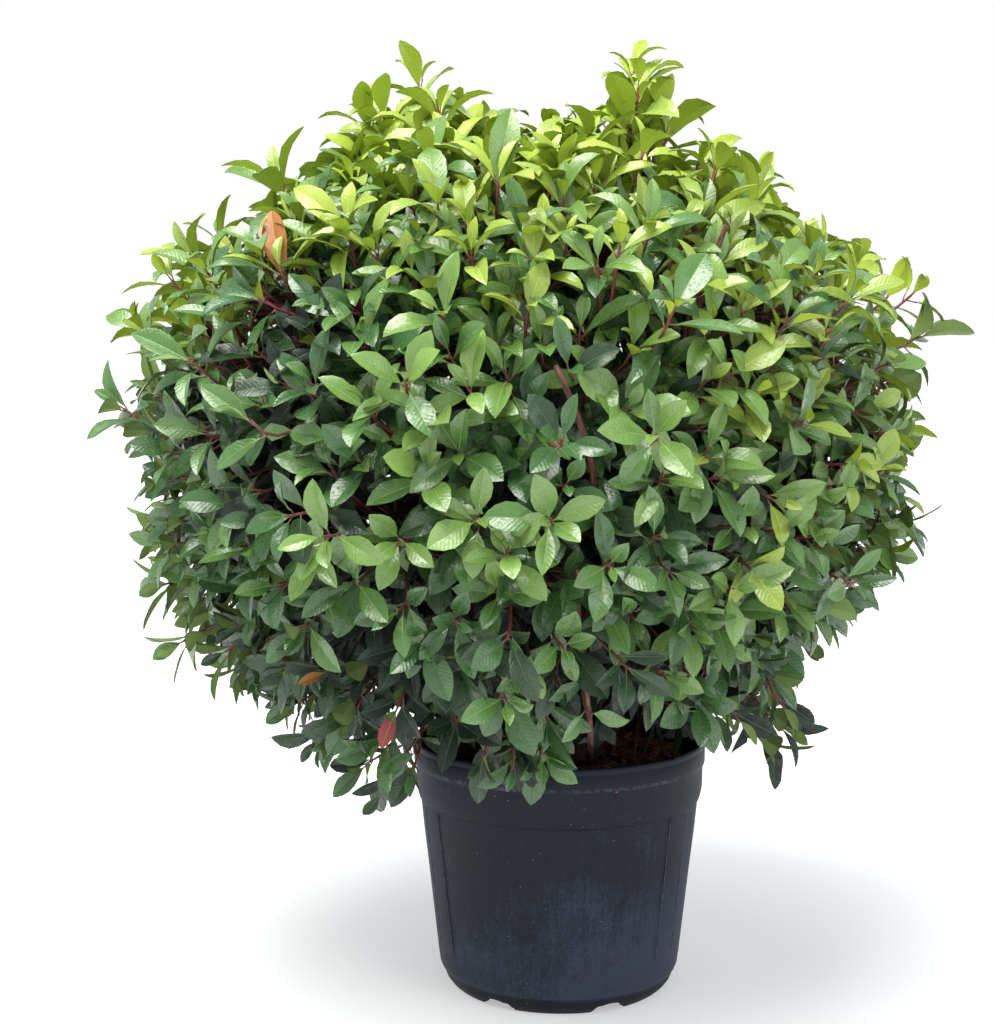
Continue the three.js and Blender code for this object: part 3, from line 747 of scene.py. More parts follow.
@dataclass
class Limbs:
    """The six stems and the bough to each mass, on the same curves as the solids."""

    crown: CrownShape
    masses: Masses
    stem_count: int = 6
    first_turn: float = -60.0
    ring: float = 0.044
    soil_top: float = 0.298
    base_radius: float = 0.0105
    tip_radius: float = 0.0055
    flare: float = 0.005
    flare_fade: float = 16.0
    spread: float = 0.096
    spreads: Pair = (1.12, 0.8)  # factor on it, of the even and of the odd stems
    tip_height: float = 0.705
    drops: Pair = (0.026, 0.0)  # tips of the even and of the odd stems below it
    straight: float = 0.110  # run straight up out of the soil
    leaning: Pair = (0.008, 0.150)  # outward and upward run at a stem's tip
    bough_base: float = 0.0054
    bough_tip: float = 0.0034
    bough_reach: float = 0.5
    bough_step: float = 0.09  # along the stem, from one bough of a ring to the next
    knee: float = 0.35  # share of a bough's span before it bends up, and after that
    elbow: float = 0.3
    rings: int = 44
    sides: int = 14
    bough_rings: int = 22
    bough_sides: int = 10
    seed: int = 11

    def __post_init__(self) -> None:
        """Works out the curves of all limbs."""
        self.stem_turns = self.first_turn + np.arange(self.stem_count) * 360 / self.stem_count
        self.stems = self._stem_curves()
        self.carriers = self._carriers()
        self.boughs = self._bough_curves()

    def _stem_curves(self) -> Array:
        """Control points of the stems: straight up out of the soil, then leaning out.

        Returns:
            (stems, 4, 3) control points.
        """
        out = direction_of(self.stem_turns, 0.0)
        odd = np.arange(self.stem_count) % 2
        foot = out * self.ring + UP * self.soil_top
        tip = np.array(self.crown.centre) + out * (self.spread * np.array(self.spreads)[odd])[:, None]
        tip[:, 2] = self.tip_height - np.array(self.drops)[odd]
        outward, upward = self.leaning
        elbow = tip - UP * upward - out * outward
        return np.stack([foot, foot + UP * self.straight, elbow, tip], axis=1)

    def _carriers(self) -> list[int]:
        """The stem of each mass: in each ring the nearest pairs of bearings are taken first.

        Returns:
            The number of the stem, for each mass.
        """
        carriers = [-1] * len(self.masses.names)
        for ring in Ring:
            members = [i for i, kind in enumerate(self.masses.rings) if kind is ring]
            free = [-(-len(members) // self.stem_count)] * self.stem_count
            away = np.abs(turn_from(self.masses.turns[members, None], self.stem_turns))
            order = np.argsort(away.ravel(), kind="stable")
            for place in order:
                member, stem = members[place // self.stem_count], int(place % self.stem_count)
                if carriers[member] < 0 and free[stem]:
                    carriers[member] = stem
                    free[stem] -= 1
        return carriers

    def _bough_curves(self) -> Array:
        """Control points of the boughs: out of the stem's axis, bending up, to the mass.

        Returns:
            (masses, 4, 3) control points.
        """
        taken: dict[tuple[int, Ring], int] = {}
        curves = []
        for index, stem in enumerate(self.carriers):
            ring = self.masses.rings[index]
            order = taken.get((stem, ring), 0)
            taken[(stem, ring)] = order + 1
            share = min(1.0, ring.value[3] + self.bough_step * order)
            start, along = bezier(self.stems[stem : stem + 1], np.array([share]))
            direction = self.masses.directions[index]
            end = self.crown.at(direction, self.bough_reach)
            span = np.linalg.norm(end - start[0, 0])
            leaving = unit(along[0, 0] * 0.5 + self.masses.outs[index])
            knee = start[0, 0] + leaving * span * self.knee
            curves.append([start[0, 0], knee, end - direction * span * self.elbow, end])
        return np.array(curves)

    def _relief(self, count: int, rings: int, sides: int, random: np.random.Generator) -> Array:
        """Bark relief as a factor on the radius: ridges that wander round, and low swellings.

        Args:
            count: how many limbs.
            rings: rings along each.
            sides: points in a ring.
            random: where the ridges and swellings come from.

        Returns:
            (limbs, rings, sides) factors.
        """
        along = np.linspace(0, 1, rings)[None, :, None]
        around = round_turns(sides)
        phase = random.uniform(0, 2 * np.pi, (4, count, 1, 1))
        wander = 0.5 * np.sin(7 * along + phase[0])
        ridges = 0.06 * np.sin(3 * around + wander + phase[1])
        fine = 0.035 * np.sin(5 * around - wander + 4 * along + phase[2])
        swellings = 0.07 * np.sin(43 * along + phase[3]) ** 8
        return 1 + ridges + fine + swellings

    def dress(self, bark: bpy.types.Material) -> None:
        """Makes the stems and the boughs, one piece each, in place of their solids.

        Args:
            bark: the material of all limbs.
        """
        random = np.random.default_rng(self.seed)
        along = np.linspace(0, 1, self.rings)
        taper = self.base_radius + (self.tip_radius - self.base_radius) * along
        radius = taper + self.flare * np.exp(-self.flare_fade * along)
        stems, boughs = Surface(), Surface()
        relief = self._relief(self.stem_count, self.rings, self.sides, random)
        add_tubes(stems, self.stems, radius, self.sides, relief)
        taper = np.linspace(self.bough_base, self.bough_tip, self.bough_rings)
        relief = self._relief(len(self.boughs), self.bough_rings, self.bough_sides, random)
        add_tubes(boughs, self.boughs, taper, self.bough_sides, relief)
        stems.piece("stems", bark, "bark", *[f"stem_{index + 1}" for index in range(self.stem_count)])
        boughs.piece("boughs", bark, "bark", *[f"bough_{name}" for name in self.masses.names])


@dataclass
class Shoots:
    """The finer twigs: branchlets from each bough's tip, and leafy shoots from the branchlets.

    The places of the shoots are an even spiral over the whole crown. Each belongs to the mass whose
    space it lies in, and grows from that mass's nearest branchlet.
    """

    crown: CrownShape
    masses: Masses
    limbs: Limbs
    spiral: int = 1300  # places of the spiral over a whole ball
    inner_spiral: int = 820  # the same for the shaded shoots farther in
    widest: float = 0.8  # slope from the mass's own direction to its edge
    branchlets: int = 8
    branchlet_share: float = 0.64  # of the reach, up to a branchlet's tip
    branchlet_slopes: Pair = (0.27, 0.42)  # from the mass's own direction
    depth: float = 0.15  # how much of the reach the deepest of the outer shoots fall short
    shaded_depth: float = 1.6  # times that, for the shaded shoots farther in
    depth_power: float = 1.7  # above 1, so that more of the outer shoots are shallow
    proud: Pair = (0.02, 0.075)  # share of the reach by which a shoot stands proud
    shake: float = 0.018  # of the places in the spiral
    knee: float = 0.35  # share of a branchlet's span up to its first bend, and after the second
    hem_gap: float = 0.03  # from a shoot's end to the hem, and the next one to the pot
    pot_gap: float = 0.012
    turning: float = 0.07  # the most that a shoot's last turn takes
    twig_radius: float = 0.0027
    shoot_radius: float = 0.0021
    young_length: float = 0.085  # of a shoot's young end
    # By how steeply a shoot points up, from -1 to 1.
    standing: Course = ((-0.3, 0.1), (0.08, 0.17))  # share of the shoots that stand proud
    shortfall: Course = ((-0.3, 0.1), (0.006, 0.026))  # share of the reach that the others fall short
    tip_shares: Course = ((-0.6, 0.3, 0.75), (0.925, 0.908, 0.85))  # of the reach, for an even tip
    rising: Course = ((-0.9, -0.3, 0.3, 0.6, 0.9), (0.2, 0.4, 0.8, 1.5, 2.2))  # turn to the light
    seed: int = 4100
    leader_radii: Pair = (0.0046, 0.0030)
    sucker_share: float = 0.75  # of a leader's radius
    well_shoots: int = 110  # shaded shoots in the dim space over the pot
    well_radius: float = 0.175
    well_heights: Pair = (0.350, 0.500)
    # Ends of the sprays that hang lowest: beside the pot, over its rim and past the rim's right end.
    hanging: Rows = (
        (-0.228, -0.25, 0.345), (-0.205, -0.27, 0.378), (-0.268, -0.235, 0.372),
        (-0.24, -0.28, 0.41), (-0.015, -0.24, 0.4), (-0.05, -0.246, 0.368),
        (-0.022, -0.236, 0.356), (0.2, -0.095, 0.38),
    )
    # Ends of the upright sprays that make the two peaks of the top, and of two at the left edge.
    peaks: Rows = (
        (0.112, 0.015, 1.13), (0.086, -0.035, 1.106), (0.134, -0.01, 1.1),
        (0.122, 0.07, 1.122), (0.056, 0.03, 1.072), (0.03, -0.015, 1.072),
        (-0.205, -0.02, 1.07), (-0.162, 0.02, 1.048), (-0.124, -0.03, 1.078),
        (-0.096, 0.03, 1.09), (-0.19, 0.07, 1.08), (-0.108, -0.075, 1.058),
        (-0.49, -0.11, 0.6), (-0.48, -0.15, 0.545),
    )
    # Control points of the woody stems that show between the sprays.
    leaders: tuple[Rows, ...] = (
        ((0.035, -0.045, 0.297), (0.05, -0.2, 0.36), (0.015, -0.36, 0.5), (0.02, -0.425, 0.6)),
        ((0.03, -0.3, 0.62), (0.05, -0.4, 0.67), (0.034, -0.458, 0.74), (-0.005, -0.468, 0.82)),
        ((0.12, -0.22, 0.76), (0.14, -0.29, 0.82), (0.15, -0.34, 0.89), (0.18, -0.345, 0.97)),
        ((-0.2, -0.2, 0.62), (-0.25, -0.29, 0.66), (-0.27, -0.35, 0.72), (-0.27, -0.375, 0.79)),
        ((-0.05, 0.25, 0.62), (-0.06, 0.36, 0.68), (-0.03, 0.43, 0.74), (0.0, 0.455, 0.82)),
        ((0.25, 0.12, 0.56), (0.35, 0.14, 0.6), (0.4, 0.15, 0.68), (0.41, 0.14, 0.75)),
    )
    # The same for the thin stems that leave the soil beside the main ones.
    suckers: tuple[Rows, ...] = (
        ((-0.03, -0.06, 0.292), (-0.07, -0.14, 0.375), (-0.11, -0.2, 0.395), (-0.17, -0.27, 0.43)),
        ((0.095, -0.03, 0.292), (0.098, -0.04, 0.35), (0.115, -0.08, 0.42), (0.16, -0.15, 0.5)),
        ((0.07, 0.01, 0.292), (0.075, 0.0, 0.36), (0.08, -0.04, 0.43), (0.09, -0.09, 0.52)),
        ((0.11, 0.02, 0.292), (0.12, 0.01, 0.35), (0.16, -0.02, 0.41), (0.22, -0.06, 0.48)),
        ((0.02, 0.09, 0.292), (0.02, 0.12, 0.36), (0.0, 0.18, 0.43), (-0.03, 0.25, 0.5)),
    )

    def __post_init__(self) -> None:
        """Works out the curves of all branchlets and shoots."""
        self.random = np.random.default_rng(self.seed)
        self._grow_branchlets()
        self._grow_shoots()

    def _grow_branchlets(self) -> None:
        """One branchlet runs straight on from each bough, and a ring of others leans away from it."""
        masses = self.masses
        across = unit(np.cross(UP, masses.directions))
        along = np.cross(masses.directions, across)
        curves, tips = [], []
        for index in range(len(masses.names)):
            turn = round_turns(self.branchlets - 1)
            turn = turn + self.random.uniform(-0.2, 0.2, len(turn))
            slope = self.random.uniform(*self.branchlet_slopes, len(turn))
            sideways = np.concatenate([[0.0], slope * np.cos(turn)])[:, None]
            upwards = np.concatenate([[0.0], slope * np.sin(turn)])[:, None]
            aside = sideways * across[index] + upwards * along[index]
            ways = unit(masses.directions[index] + aside)
            share = self.branchlet_share + self.random.uniform(-0.03, 0.03, len(ways))
            ends = self.crown.at(ways, share)
            start = np.broadcast_to(self.limbs.boughs[index, 3], ends.shape)
            span = np.linalg.norm(ends - start, axis=1, keepdims=True)
            knees = start + masses.directions[index] * span * self.knee
            elbows = ends - unit(ways + 0.35 * UP) * span * self.knee
            curves.append(np.stack([start, knees, elbows, ends], axis=1))
            tips.append(ends)
        self.branchlet_curves = np.concatenate(curves)
        self.branchlet_tips = np.stack(tips)

    def _places(self, number: int) -> tuple[Array, Array, Array]:
        """Directions of an even spiral over a ball, shaken, with those that no mass's space holds cut.

        Args:
            number: the places of the spiral over the whole ball.

        Returns:
            The directions, the number of the mass that holds each, and whether it is over the well
            that the skirt leaves open above the pot.
        """
        share, turn = spiral(number)
        height = 1 - 2 * share
        ways = polar(np.sqrt(1 - height**2), turn, height)
        ways = unit(ways + self.random.normal(0, self.shake, ways.shape))
        holders = self.masses.nearest(ways)
        cosine = np.sum(ways * self.masses.directions[holders], axis=1)
        inside = np.tan(np.arccos(np.clip(cosine, -1, 1))) <= self.widest
        points = self.crown.leafy_at(ways, 0.9)
        outs = self.masses.outs[holders]
        skirt = np.array([self.masses.rings[i] is Ring.SKIRT for i in holders])
        over_well = skirt & (np.sum(points * outs, axis=1) < self.crown.well_radius)
        kept = inside & (over_well | self.crown.clear_of_pot(points, 0.02))
        return ways[kept], holders[kept], over_well[kept]

    def _well_ends(self) -> Array:
        """Ends of the shoots over the pot: an even spiral on a disc, at odd heights.

        Returns:
            (shoots, 3) places.
        """
        share, turn = spiral(self.well_shoots)
        height = self.random.uniform(*self.well_heights, self.well_shoots)
        return polar(self.well_radius * np.sqrt(share), turn, height)

    def _grow_shoots(self) -> None:
        """A shoot leaves its branchlet's tip and turns to the light: out of the crown, and upwards."""
        random = self.random
        outer, inner = self._places(self.spiral), self._places(self.inner_spiral)
        ways, holders, over_well = (np.concatenate(pair) for pair in zip(outer, inner))
        shaded = np.arange(len(ways)) >= len(outer[0])
        outer_depth = random.uniform(0, 1, len(ways)) ** self.depth_power
        depth = np.where(shaded, self.shaded_depth, outer_depth)
        stands = random.uniform(0, 1, len(ways)) < np.interp(ways[:, 2], *self.standing)
        short = np.interp(ways[:, 2], *self.shortfall)
        proud = np.where(stands & ~shaded, random.uniform(*self.proud, len(ways)), -short)
        shares = np.interp(ways[:, 2], *self.tip_shares) + proud
        shares = shares - self.depth * depth * np.where(stands, 0.4, 1)
        shares = np.where(over_well, 0.5 + 0.05 * depth, shares)
        ends = self.crown.leafy_at(ways, shares)
        kept = self.crown.above_hem(ends, self.hem_gap) & (shaded | ~over_well)
        kept &= self.crown.clear_of_pot(ends, self.pot_gap)
        kept &= ~self.crown.thinned(ends, random.uniform(0, 1, len(ways)))
        added = self.well_shoots + len(self.peaks) + len(self.hanging)
        self.rises = np.concatenate([proud[kept], np.zeros(added)])
        placed = np.concatenate([self._well_ends(), np.array(self.peaks), np.array(self.hanging)])
        placed_ways = unit(placed - np.array(self.crown.centre))
        in_light = np.arange(len(placed)) >= self.well_shoots
        ways, ends = np.concatenate([ways[kept], placed_ways]), np.concatenate([ends[kept], placed])
        holders = np.concatenate([holders[kept], self.masses.nearest(placed_ways)])
        shaded = np.concatenate([shaded[kept], ~in_light])
        depth = np.concatenate([depth[kept], np.where(in_light, 0.3, self.shaded_depth)])
        self.free_of_hem = np.arange(len(ways)) >= int(kept.sum())
        self.set_by_hand = np.arange(len(ways)) >= int(kept.sum()) + self.well_shoots
        self.hangs = np.arange(len(ways)) >= len(ways) - len(self.hanging)
        gaps = np.linalg.norm(self.branchlet_tips[holders] - ends[:, None], axis=2)
        chosen = np.argmin(gaps, axis=1)
        starts = self.branchlet_tips[holders, chosen]
        rise = np.interp(ways[:, 2], *self.rising)[:, None]
        heading = unit(ways + UP * rise + random.normal(0, 0.2, ways.shape))
        span = np.linalg.norm(ends - starts, axis=1, keepdims=True)
        along = unit(self.branchlet_tips - self.limbs.boughs[:, None, 3])[holders, chosen]
        knees = starts + unit(along + 0.5 * ways) * span * 0.3
        elbows = ends - heading * np.minimum(span * 0.45, self.turning)
        self.curves = np.stack([starts, knees, elbows, ends], axis=1)
        self.ways, self.depths, self.shaded = ways, depth, shaded
        self.spans = span[:, 0] * 1.06

    def dress(self, bark: bpy.types.Material) -> None:
        """Makes the branchlets, the woody part of the shoots and their red or brown young ends.

        Args:
            bark: the material of the woody pieces.
        """
        twigs, leaders = Surface(), Surface()
        taper = np.linspace(self.limbs.bough_tip * 0.92, self.twig_radius, 7)
        add_tubes(twigs, self.branchlet_curves, taper, 6)
        older, newer = self._parted(np.clip(1 - self.young_length / self.spans, 0.1, 0.8))
        add_tubes(twigs, older, np.linspace(self.twig_radius, self.shoot_radius, 6), 4)
        high = (self.ways[:, 2] > 0.15) | (self.ways[:, 0] > 0.55)
        reddish = high & (self.depths < 0.7) | (self.random.uniform(0, 1, len(newer)) < 0.3)
        taper = np.linspace(*self.leader_radii, 14)
        add_tubes(leaders, np.array(self.leaders), taper, 8)
        add_tubes(leaders, np.array(self.suckers), taper * self.sucker_share, 8)
        red_bark = BarkFinish("red_brown_shoot_bark", "#2b1714", "#5c362c", "#8f6a5a")
        twigs.piece("twigs", bark, "bark")
        leaders.piece("woody_leaders", red_bark.material(), "bark")
        taper = np.linspace(self.shoot_radius, self.shoot_radius * 0.75, 5)
        for name, finish, chosen in (
            ("shoots_red", RindFinish("young_shoot_rind", "#6b3232"), reddish),
            ("shoots_brown", RindFinish("older_shoot_rind", "#5b3a30", 0.6), ~reddish),
        ):
            ends = Surface()
            add_tubes(ends, newer[chosen], taper, 4)
            ends.piece(name, finish.material(), "bark")

    def _parted(self, shares: Array) -> tuple[Array, Array]:
        """Parts each cubic curve in two at a share of it, by halving its control lines there.

        Args:
            shares: where to part each curve, from 0 to 1.

        Returns:
            The control points up to there, and those from there on.
        """
        t = shares[:, None]
        a, b, c, d = (self.curves[:, index] for index in range(4))
        ab, bc, cd = a + (b - a) * t, b + (c - b) * t, c + (d - c) * t
        abc, bcd = ab + (bc - ab) * t, bc + (cd - bc) * t
        middle = abc + (bcd - abc) * t
        return np.stack([a, ab, abc, middle], axis=1), np.stack([middle, bcd, cd, d], axis=1)


class Tint(Enum):
    """The plain blade colours, dealt out by spray, with the roughness and coat of their skin.

    The darker ones, down to DEEP and SHADE, are painted shade deep in the crown and over the pot. The
    bright ones are partly young leaves and partly painted light on the top.
    """

    LIME = ("#91a536", 0.38, 0.45)
    FRESH = ("#869c3c", 0.36, 0.58)
    GREEN = ("#61823a", 0.33, 0.72)
    SAGE = ("#4a6f32", 0.31, 0.80)
    JADE = ("#355a2b", 0.31, 0.66)
    DEEP = ("#223b20", 0.38, 0.26)
    SHADE = ("#15241a", 0.60, 0.04)
    RUSSET = ("#8a3438", 0.45, 0.20)
    AMBER = ("#9c6431", 0.45, 0.20)
    OLIVE = ("#7c923a", 0.38, 0.42)
    SPRING = ("#709242", 0.34, 0.70)

    @property
    def finish(self) -> LeafFinish:
        """The blade finish of this tint."""
        colour, roughness, coat = self.value
        return LeafFinish(f"leaf_{self.name.lower()}", colour, roughness, coat)

    @property
    def slot(self) -> str:
        """The record's material slot for this tint.

        Returns:
            The name of the slot.
        """
        if self in (Tint.LIME, Tint.FRESH):
            return "leaf_young"
        return "leaf_deep" if self in (Tint.DEEP, Tint.SHADE) else "leaf_green"

    @property
    def number(self) -> int:
        """The place of this tint in the list of them."""
        return list(Tint).index(self)

    @staticmethod
    def among(numbers: Array, *kinds: Tint) -> Array:
        """True where a number is that of one of the tints."""
        return np.isin(numbers, [kind.number for kind in kinds])


BRIGHT = (Tint.LIME, Tint.FRESH, Tint.OLIVE)


@dataclass
class Foliage:
    """The leaves: an alternate spiral round the end of each shoot, young and upright at its tip."""

    crown: CrownShape
    shoots: Shoots
    most: int = 9  # leaves on a full shoot
    near: int = 6  # leaves nearest the tip, which show; those farther in are cut from fewer faces
    stalk: float = 0.009
    young_gap: float = 0.026  # from the tip to the first of the leaves farther in
    old_gap: float = 0.016  # between those
    # By a leaf's number from the tip.
    opening: Course = ((0, 1, 3, 6, 8), (16, 30, 48, 68, 78))  # degrees out from the shoot
    young: Course = ((0, 1, 2, 8), (0.55, 0.85, 1.0, 0.92))  # share of the full length
    # By how steeply its shoot points up, from -1 to 1.
    closing: Course = ((0.2, 0.7), (1.0, 0.72))  # factor on the opening
    sag: Course = ((-0.8, 0.0, 0.7), (0.46, 0.24, 0.02))  # lean of the leaf downwards
    pull: Course = ((0.2, 0.7), (0.5, 0.22))  # turn of the face to the light
    grown: Course = ((-0.7, 0.1, 0.4, 0.8), (0.054, 0.060, 0.068, 0.080))  # full length
    arch: Course = ((-0.6, 0.1, 0.4, 0.9), (26, 44, 66, 88))  # degrees of bend along the leaf
    widths: Course = ((0.1, 0.5), (0.51, 0.40))  # share of the length
    shading: Course = ((0.0, 0.75), (0.85, 0.42))  # painted shade: darkening with the depth in the crown
    ageing: Course = ((0.0, 0.4), (0.06, 0.12))  # darkening with the number from the tip
    # The brightness at which each shade gives way to the next, from dark to bright.
    shades: tuple[float, ...] = (-1.05, -0.62, -0.22, 0.12, 0.54, 0.92)
    # Shares of the length at which a blade has its rows, and which of them a leaf farther in has.
    rows: tuple[float, ...] = (0.0, 0.08, 0.23, 0.42, 0.61, 0.79, 0.92, 1.0)
    few_rows: tuple[int, ...] = (0, 2, 4, 7)
    under_gap: float = 0.0005  # from the blade to its pale underside
    rib_width: float = 0.0005  # half the midrib's width at the foot of the blade
    stalk_radii: Pair = (0.0012, 0.0008)
    fold: float = 25.0  # degrees from flat to each half of the blade
    margin: float = 0.012  # share of the even reach by which a tip may stand past it
    pot_gap: float = 0.006  # from a leaf to the pot
    bow: float = 0.0015  # of a stalk
    # Distance from the tip: of the first leaf, then by a leaf's number and by its square.
    spacing: Triple = (0.0012, 0.0022, 0.0005)
    hanging_growth: float = 1.18  # factor on the leaves of the sprays that hang lowest
    # Brightness of a spray, as painted light and shade: by its height, by its side, over the pot
    # and in the middle.
    by_height: float = 0.95
    by_side: float = 0.26
    over_pot: float = 0.5
    middling: float = 0.28
    spray_chance: Pair = (-0.04, 0.27)  # mean and spread from spray to spray
    leaf_chance: Pair = (0.0, 0.14)  # the same from leaf to leaf
    seed: int = 77
    # Side, height, spread and amount of the dim places of the front, whose leaves are darkened as
    # painted shade, or lightened as painted light where the amount is below 0.
    dim_places: Rows = (
        (-0.182, 0.5, 0.085, 0.75), (-0.285, 0.834, 0.075, 0.9), (-0.412, 0.721, 0.09, 0.35),
        (-0.13, 0.63, 0.12, -0.35), (0.15, 0.946, 0.08, 0.35), (0.02, 0.48, 0.09, -0.25),
    )
    # Side, height and tint of the odd leaves of the front.
    accents: tuple[tuple[float, float, Tint], ...] = (
        (-0.296, 0.408, Tint.AMBER), (-0.292, 0.891, Tint.AMBER), (0.311, 0.816, Tint.AMBER),
        (-0.150, 0.410, Tint.RUSSET),
    )

    def __post_init__(self) -> None:
        """Works out every leaf's place, size and bend."""
        self.random = np.random.default_rng(self.seed)
        self._place_leaves()

    def _place_leaves(self) -> None:
        """Places the leaves along their shoots and turns each to the light."""
        shoots, random = self.shoots, self.random
        count = len(shoots.curves)
        number = np.tile(np.arange(self.most), (count, 1))
        fewer = np.where(shoots.ways[:, 2] > 0.15, 2, 0)
        wanted = np.where(shoots.shaded, 6, random.integers(6, self.most + 1, count) - fewer)
        shoot = np.repeat(np.arange(count), self.most).reshape(count, self.most)
        kept = number < wanted[:, None]
        age, shoot = number[kept], shoot[kept]
        first, step, growth = self.spacing
        from_tip = first + step * age + growth * age**2
        bare = random.uniform(0.012, 0.034, count)[shoot]
        inner = self.young_gap + bare + self.old_gap * (age - self.near)
        from_tip = np.where(age < self.near, from_tip, inner)
        from_tip = from_tip * random.uniform(0.85, 1.2, len(age))
        shares = np.clip(1 - from_tip / shoots.spans[shoot], 0.05, 1.0)
        points, tangents = bezier(shoots.curves[shoot], shares[:, None])
        base, along = points[:, 0], tangents[:, 0]
        start = random.uniform(0, 2 * np.pi, count)[shoot]
        turn = start + age * GOLDEN_TURN + random.normal(0, 0.18, len(age))
        side = square_to(np.broadcast_to([0.31, 0.87, 0.38], along.shape), along)
        other = np.cross(along, side)
        outwards = np.cos(turn)[:, None] * side + np.sin(turn)[:, None] * other
        high = shoots.ways[shoot, 2]
        opening = np.interp(age, *self.opening) * np.interp(high, *self.closing)
        opening = np.radians(opening + random.normal(0, 7, len(age)))[:, None]
        axis = np.cos(opening) * along + np.sin(opening) * outwards
        sag = np.interp(high, *self.sag) * (0.4 + 0.1 * age)
        axis = unit(axis - UP * sag[:, None])
        face = square_to(np.sin(opening) * along - np.cos(opening) * outwards, axis)
        light = unit(0.85 * UP + 0.75 * shoots.ways[shoot])
        seen = np.linalg.norm(np.cross(light, axis), axis=1, keepdims=True)
        pull = np.interp(high, *self.pull)[:, None] * np.clip(seen, 0, 1)
        face = square_to((1 - pull) * face + pull * square_to(light, axis), axis)
        vigour = random.normal(1, 0.09, count).clip(0.8, 1.2)[shoot]
        length = np.interp(high, *self.grown) * np.interp(age, *self.young) * vigour
        length = length * random.normal(1, 0.1, len(age)).clip(0.75, 1.25)
        length = length * np.where(shoots.hangs[shoot], self.hanging_growth, 1)
        bend = np.interp(high, *self.arch) * random.uniform(0.4, 1.25, len(age))
        self.age, self.shoot, self.base, self.axis = age, shoot, base, axis
        self.face, self.length, self.bend = face, length, np.radians(bend)
        self._keep_within_reach()
        self.detailed = ~shoots.shaded[self.shoot] & (self.age < self.near)

    def _tips(self) -> Array:
        """Where the leaves' tips come to lie, nearly, with their bend.

        Returns:
            (leaves, 3) places.
        """
        size = self.stalk + self.length[:, None]
        sagging = np.sin(0.45 * self.bend)[:, None]
        return self.base + self.axis * size * 0.95 - self.face * size * sagging * 0.6

    def _keep_within_reach(self) -> None:
        """Shortens leaves that pass the crown's reach, and drops those that would meet the pot."""
        allowed = 1 + self.margin + 0.015 * np.sin(7 * self.shoot)
        allowed = allowed + 0.55 * np.maximum(self.shoots.rises, 0)[self.shoot]
        allowed = allowed + self.shoots.set_by_hand[self.shoot]
        over = self.crown.share_of_reach(self._tips()) - allowed
        self.length = self.length * np.where(over > 0, np.clip(1 - 6 * over, 0.55, 1), 1)
        tips = self._tips()
        middles = (tips + self.base) / 2
        kept = self.crown.share_of_reach(tips) < allowed + 0.03
        for points in (tips, middles):
            kept &= self.crown.clear_of_pot(points, self.pot_gap)
        kept &= self.crown.above_hem(tips, 0.0) | self.shoots.free_of_hem[self.shoot]
        kept &= ~self._hides_leader(middles)
        for name in ("age", "shoot", "base", "axis", "face", "length", "bend"):
            setattr(self, name, getattr(self, name)[kept])

    def _hides_leader(self, middles: Array) -> Array:
        """True for the leaves that would hide a woody stem where it shows between the sprays.

        Args:
            middles: (leaves, 3) middles of the blades.

        Returns:
            One truth value for each leaf.
        """
        points, _ = bezier(np.array(self.shoots.leaders), np.linspace(0.45, 0.95, 18))
        points = points.reshape(-1, 3)
        outs = unit(points - np.array(self.crown.centre))
        gaps = middles[:, None] - points
        outward = np.sum(gaps * outs, axis=2)
        aside = np.linalg.norm(gaps - outward[..., None] * outs, axis=2)
        near = np.any((aside < 0.013) & (outward > -0.004), axis=1)
        return near & (np.arange(len(middles)) % 4 > 0)

    def _under_crown(self) -> Array:
        """How far each shoot stands in the dim space over the pot, from 0 to 1.

        Returns:
            One number for each leaf.
        """
        tips = self.shoots.curves[:, 3]
        inwards = np.clip((0.38 - np.hypot(tips[:, 0], tips[:, 1])) / 0.08, 0, 1)
        return inwards * np.clip((0.56 - tips[:, 2]) / 0.08, 0, 1)

    def _tints(self) -> Array:
        """Deals a tint to each leaf: by the height, side and depth of its spray, and by its age.

        The height, side and depth of a spray, the space over the pot and the dim places paint light and
        shade into the tints.

        Returns:
            The number of each leaf's tint.
        """
        shoots, random = self.shoots, self.random
        ways, depth = shoots.ways, shoots.depths
        shading = np.interp(ways[:, 2], *self.shading)
        # Here vigour is the brightness of painted light and shade: lighter higher up, to the right and on
        # the hanging sprays, and darker deep in the crown, over the pot and at the dim places.
        vigour = self.by_height * ways[:, 2] + self.by_side * np.clip(ways[:, 0], -0.4, 1)
        vigour = vigour - shading * depth + self.middling - self.over_pot * self._under_crown()
        vigour = vigour + random.normal(*self.spray_chance, len(ways))
        vigour = vigour + np.where(shoots.hangs, np.where(ways[:, 0] > -0.2, 0.75, 0.5), 0)
        ends = shoots.curves[:, 3]
        # Painted shade at the dim places of the front, and painted light where the amount is below 0.
        for x, z, spread, amount in self.dim_places:
            away = np.hypot(ends[:, 0] - x, ends[:, 2] - z) / spread
            vigour = vigour - amount * np.exp(-(away**2)) * (ends[:, 1] < 0)
        ageing = np.interp(ways[self.shoot, 2], *self.ageing)
        chance = random.normal(*self.leaf_chance, len(self.age))
        value = vigour[self.shoot] - ageing * (self.age - 2) + chance
        tint = np.digitize(value, self.shades)
        scale = [Tint.SHADE, Tint.DEEP, Tint.JADE, Tint.SAGE, Tint.GREEN, Tint.FRESH, Tint.LIME]
        numbers = np.array([kind.number for kind in scale])[tint]
        odd = random.uniform(0, 1, len(numbers))
        low = self.base[:, 2] < 0.5
        numbers[(odd < 0.002) & low & (self.base[:, 1] > 0)] = Tint.RUSSET.number
        numbers[(odd > 0.9995) & ~low & (self.base[:, 1] > 0)] = Tint.AMBER.number
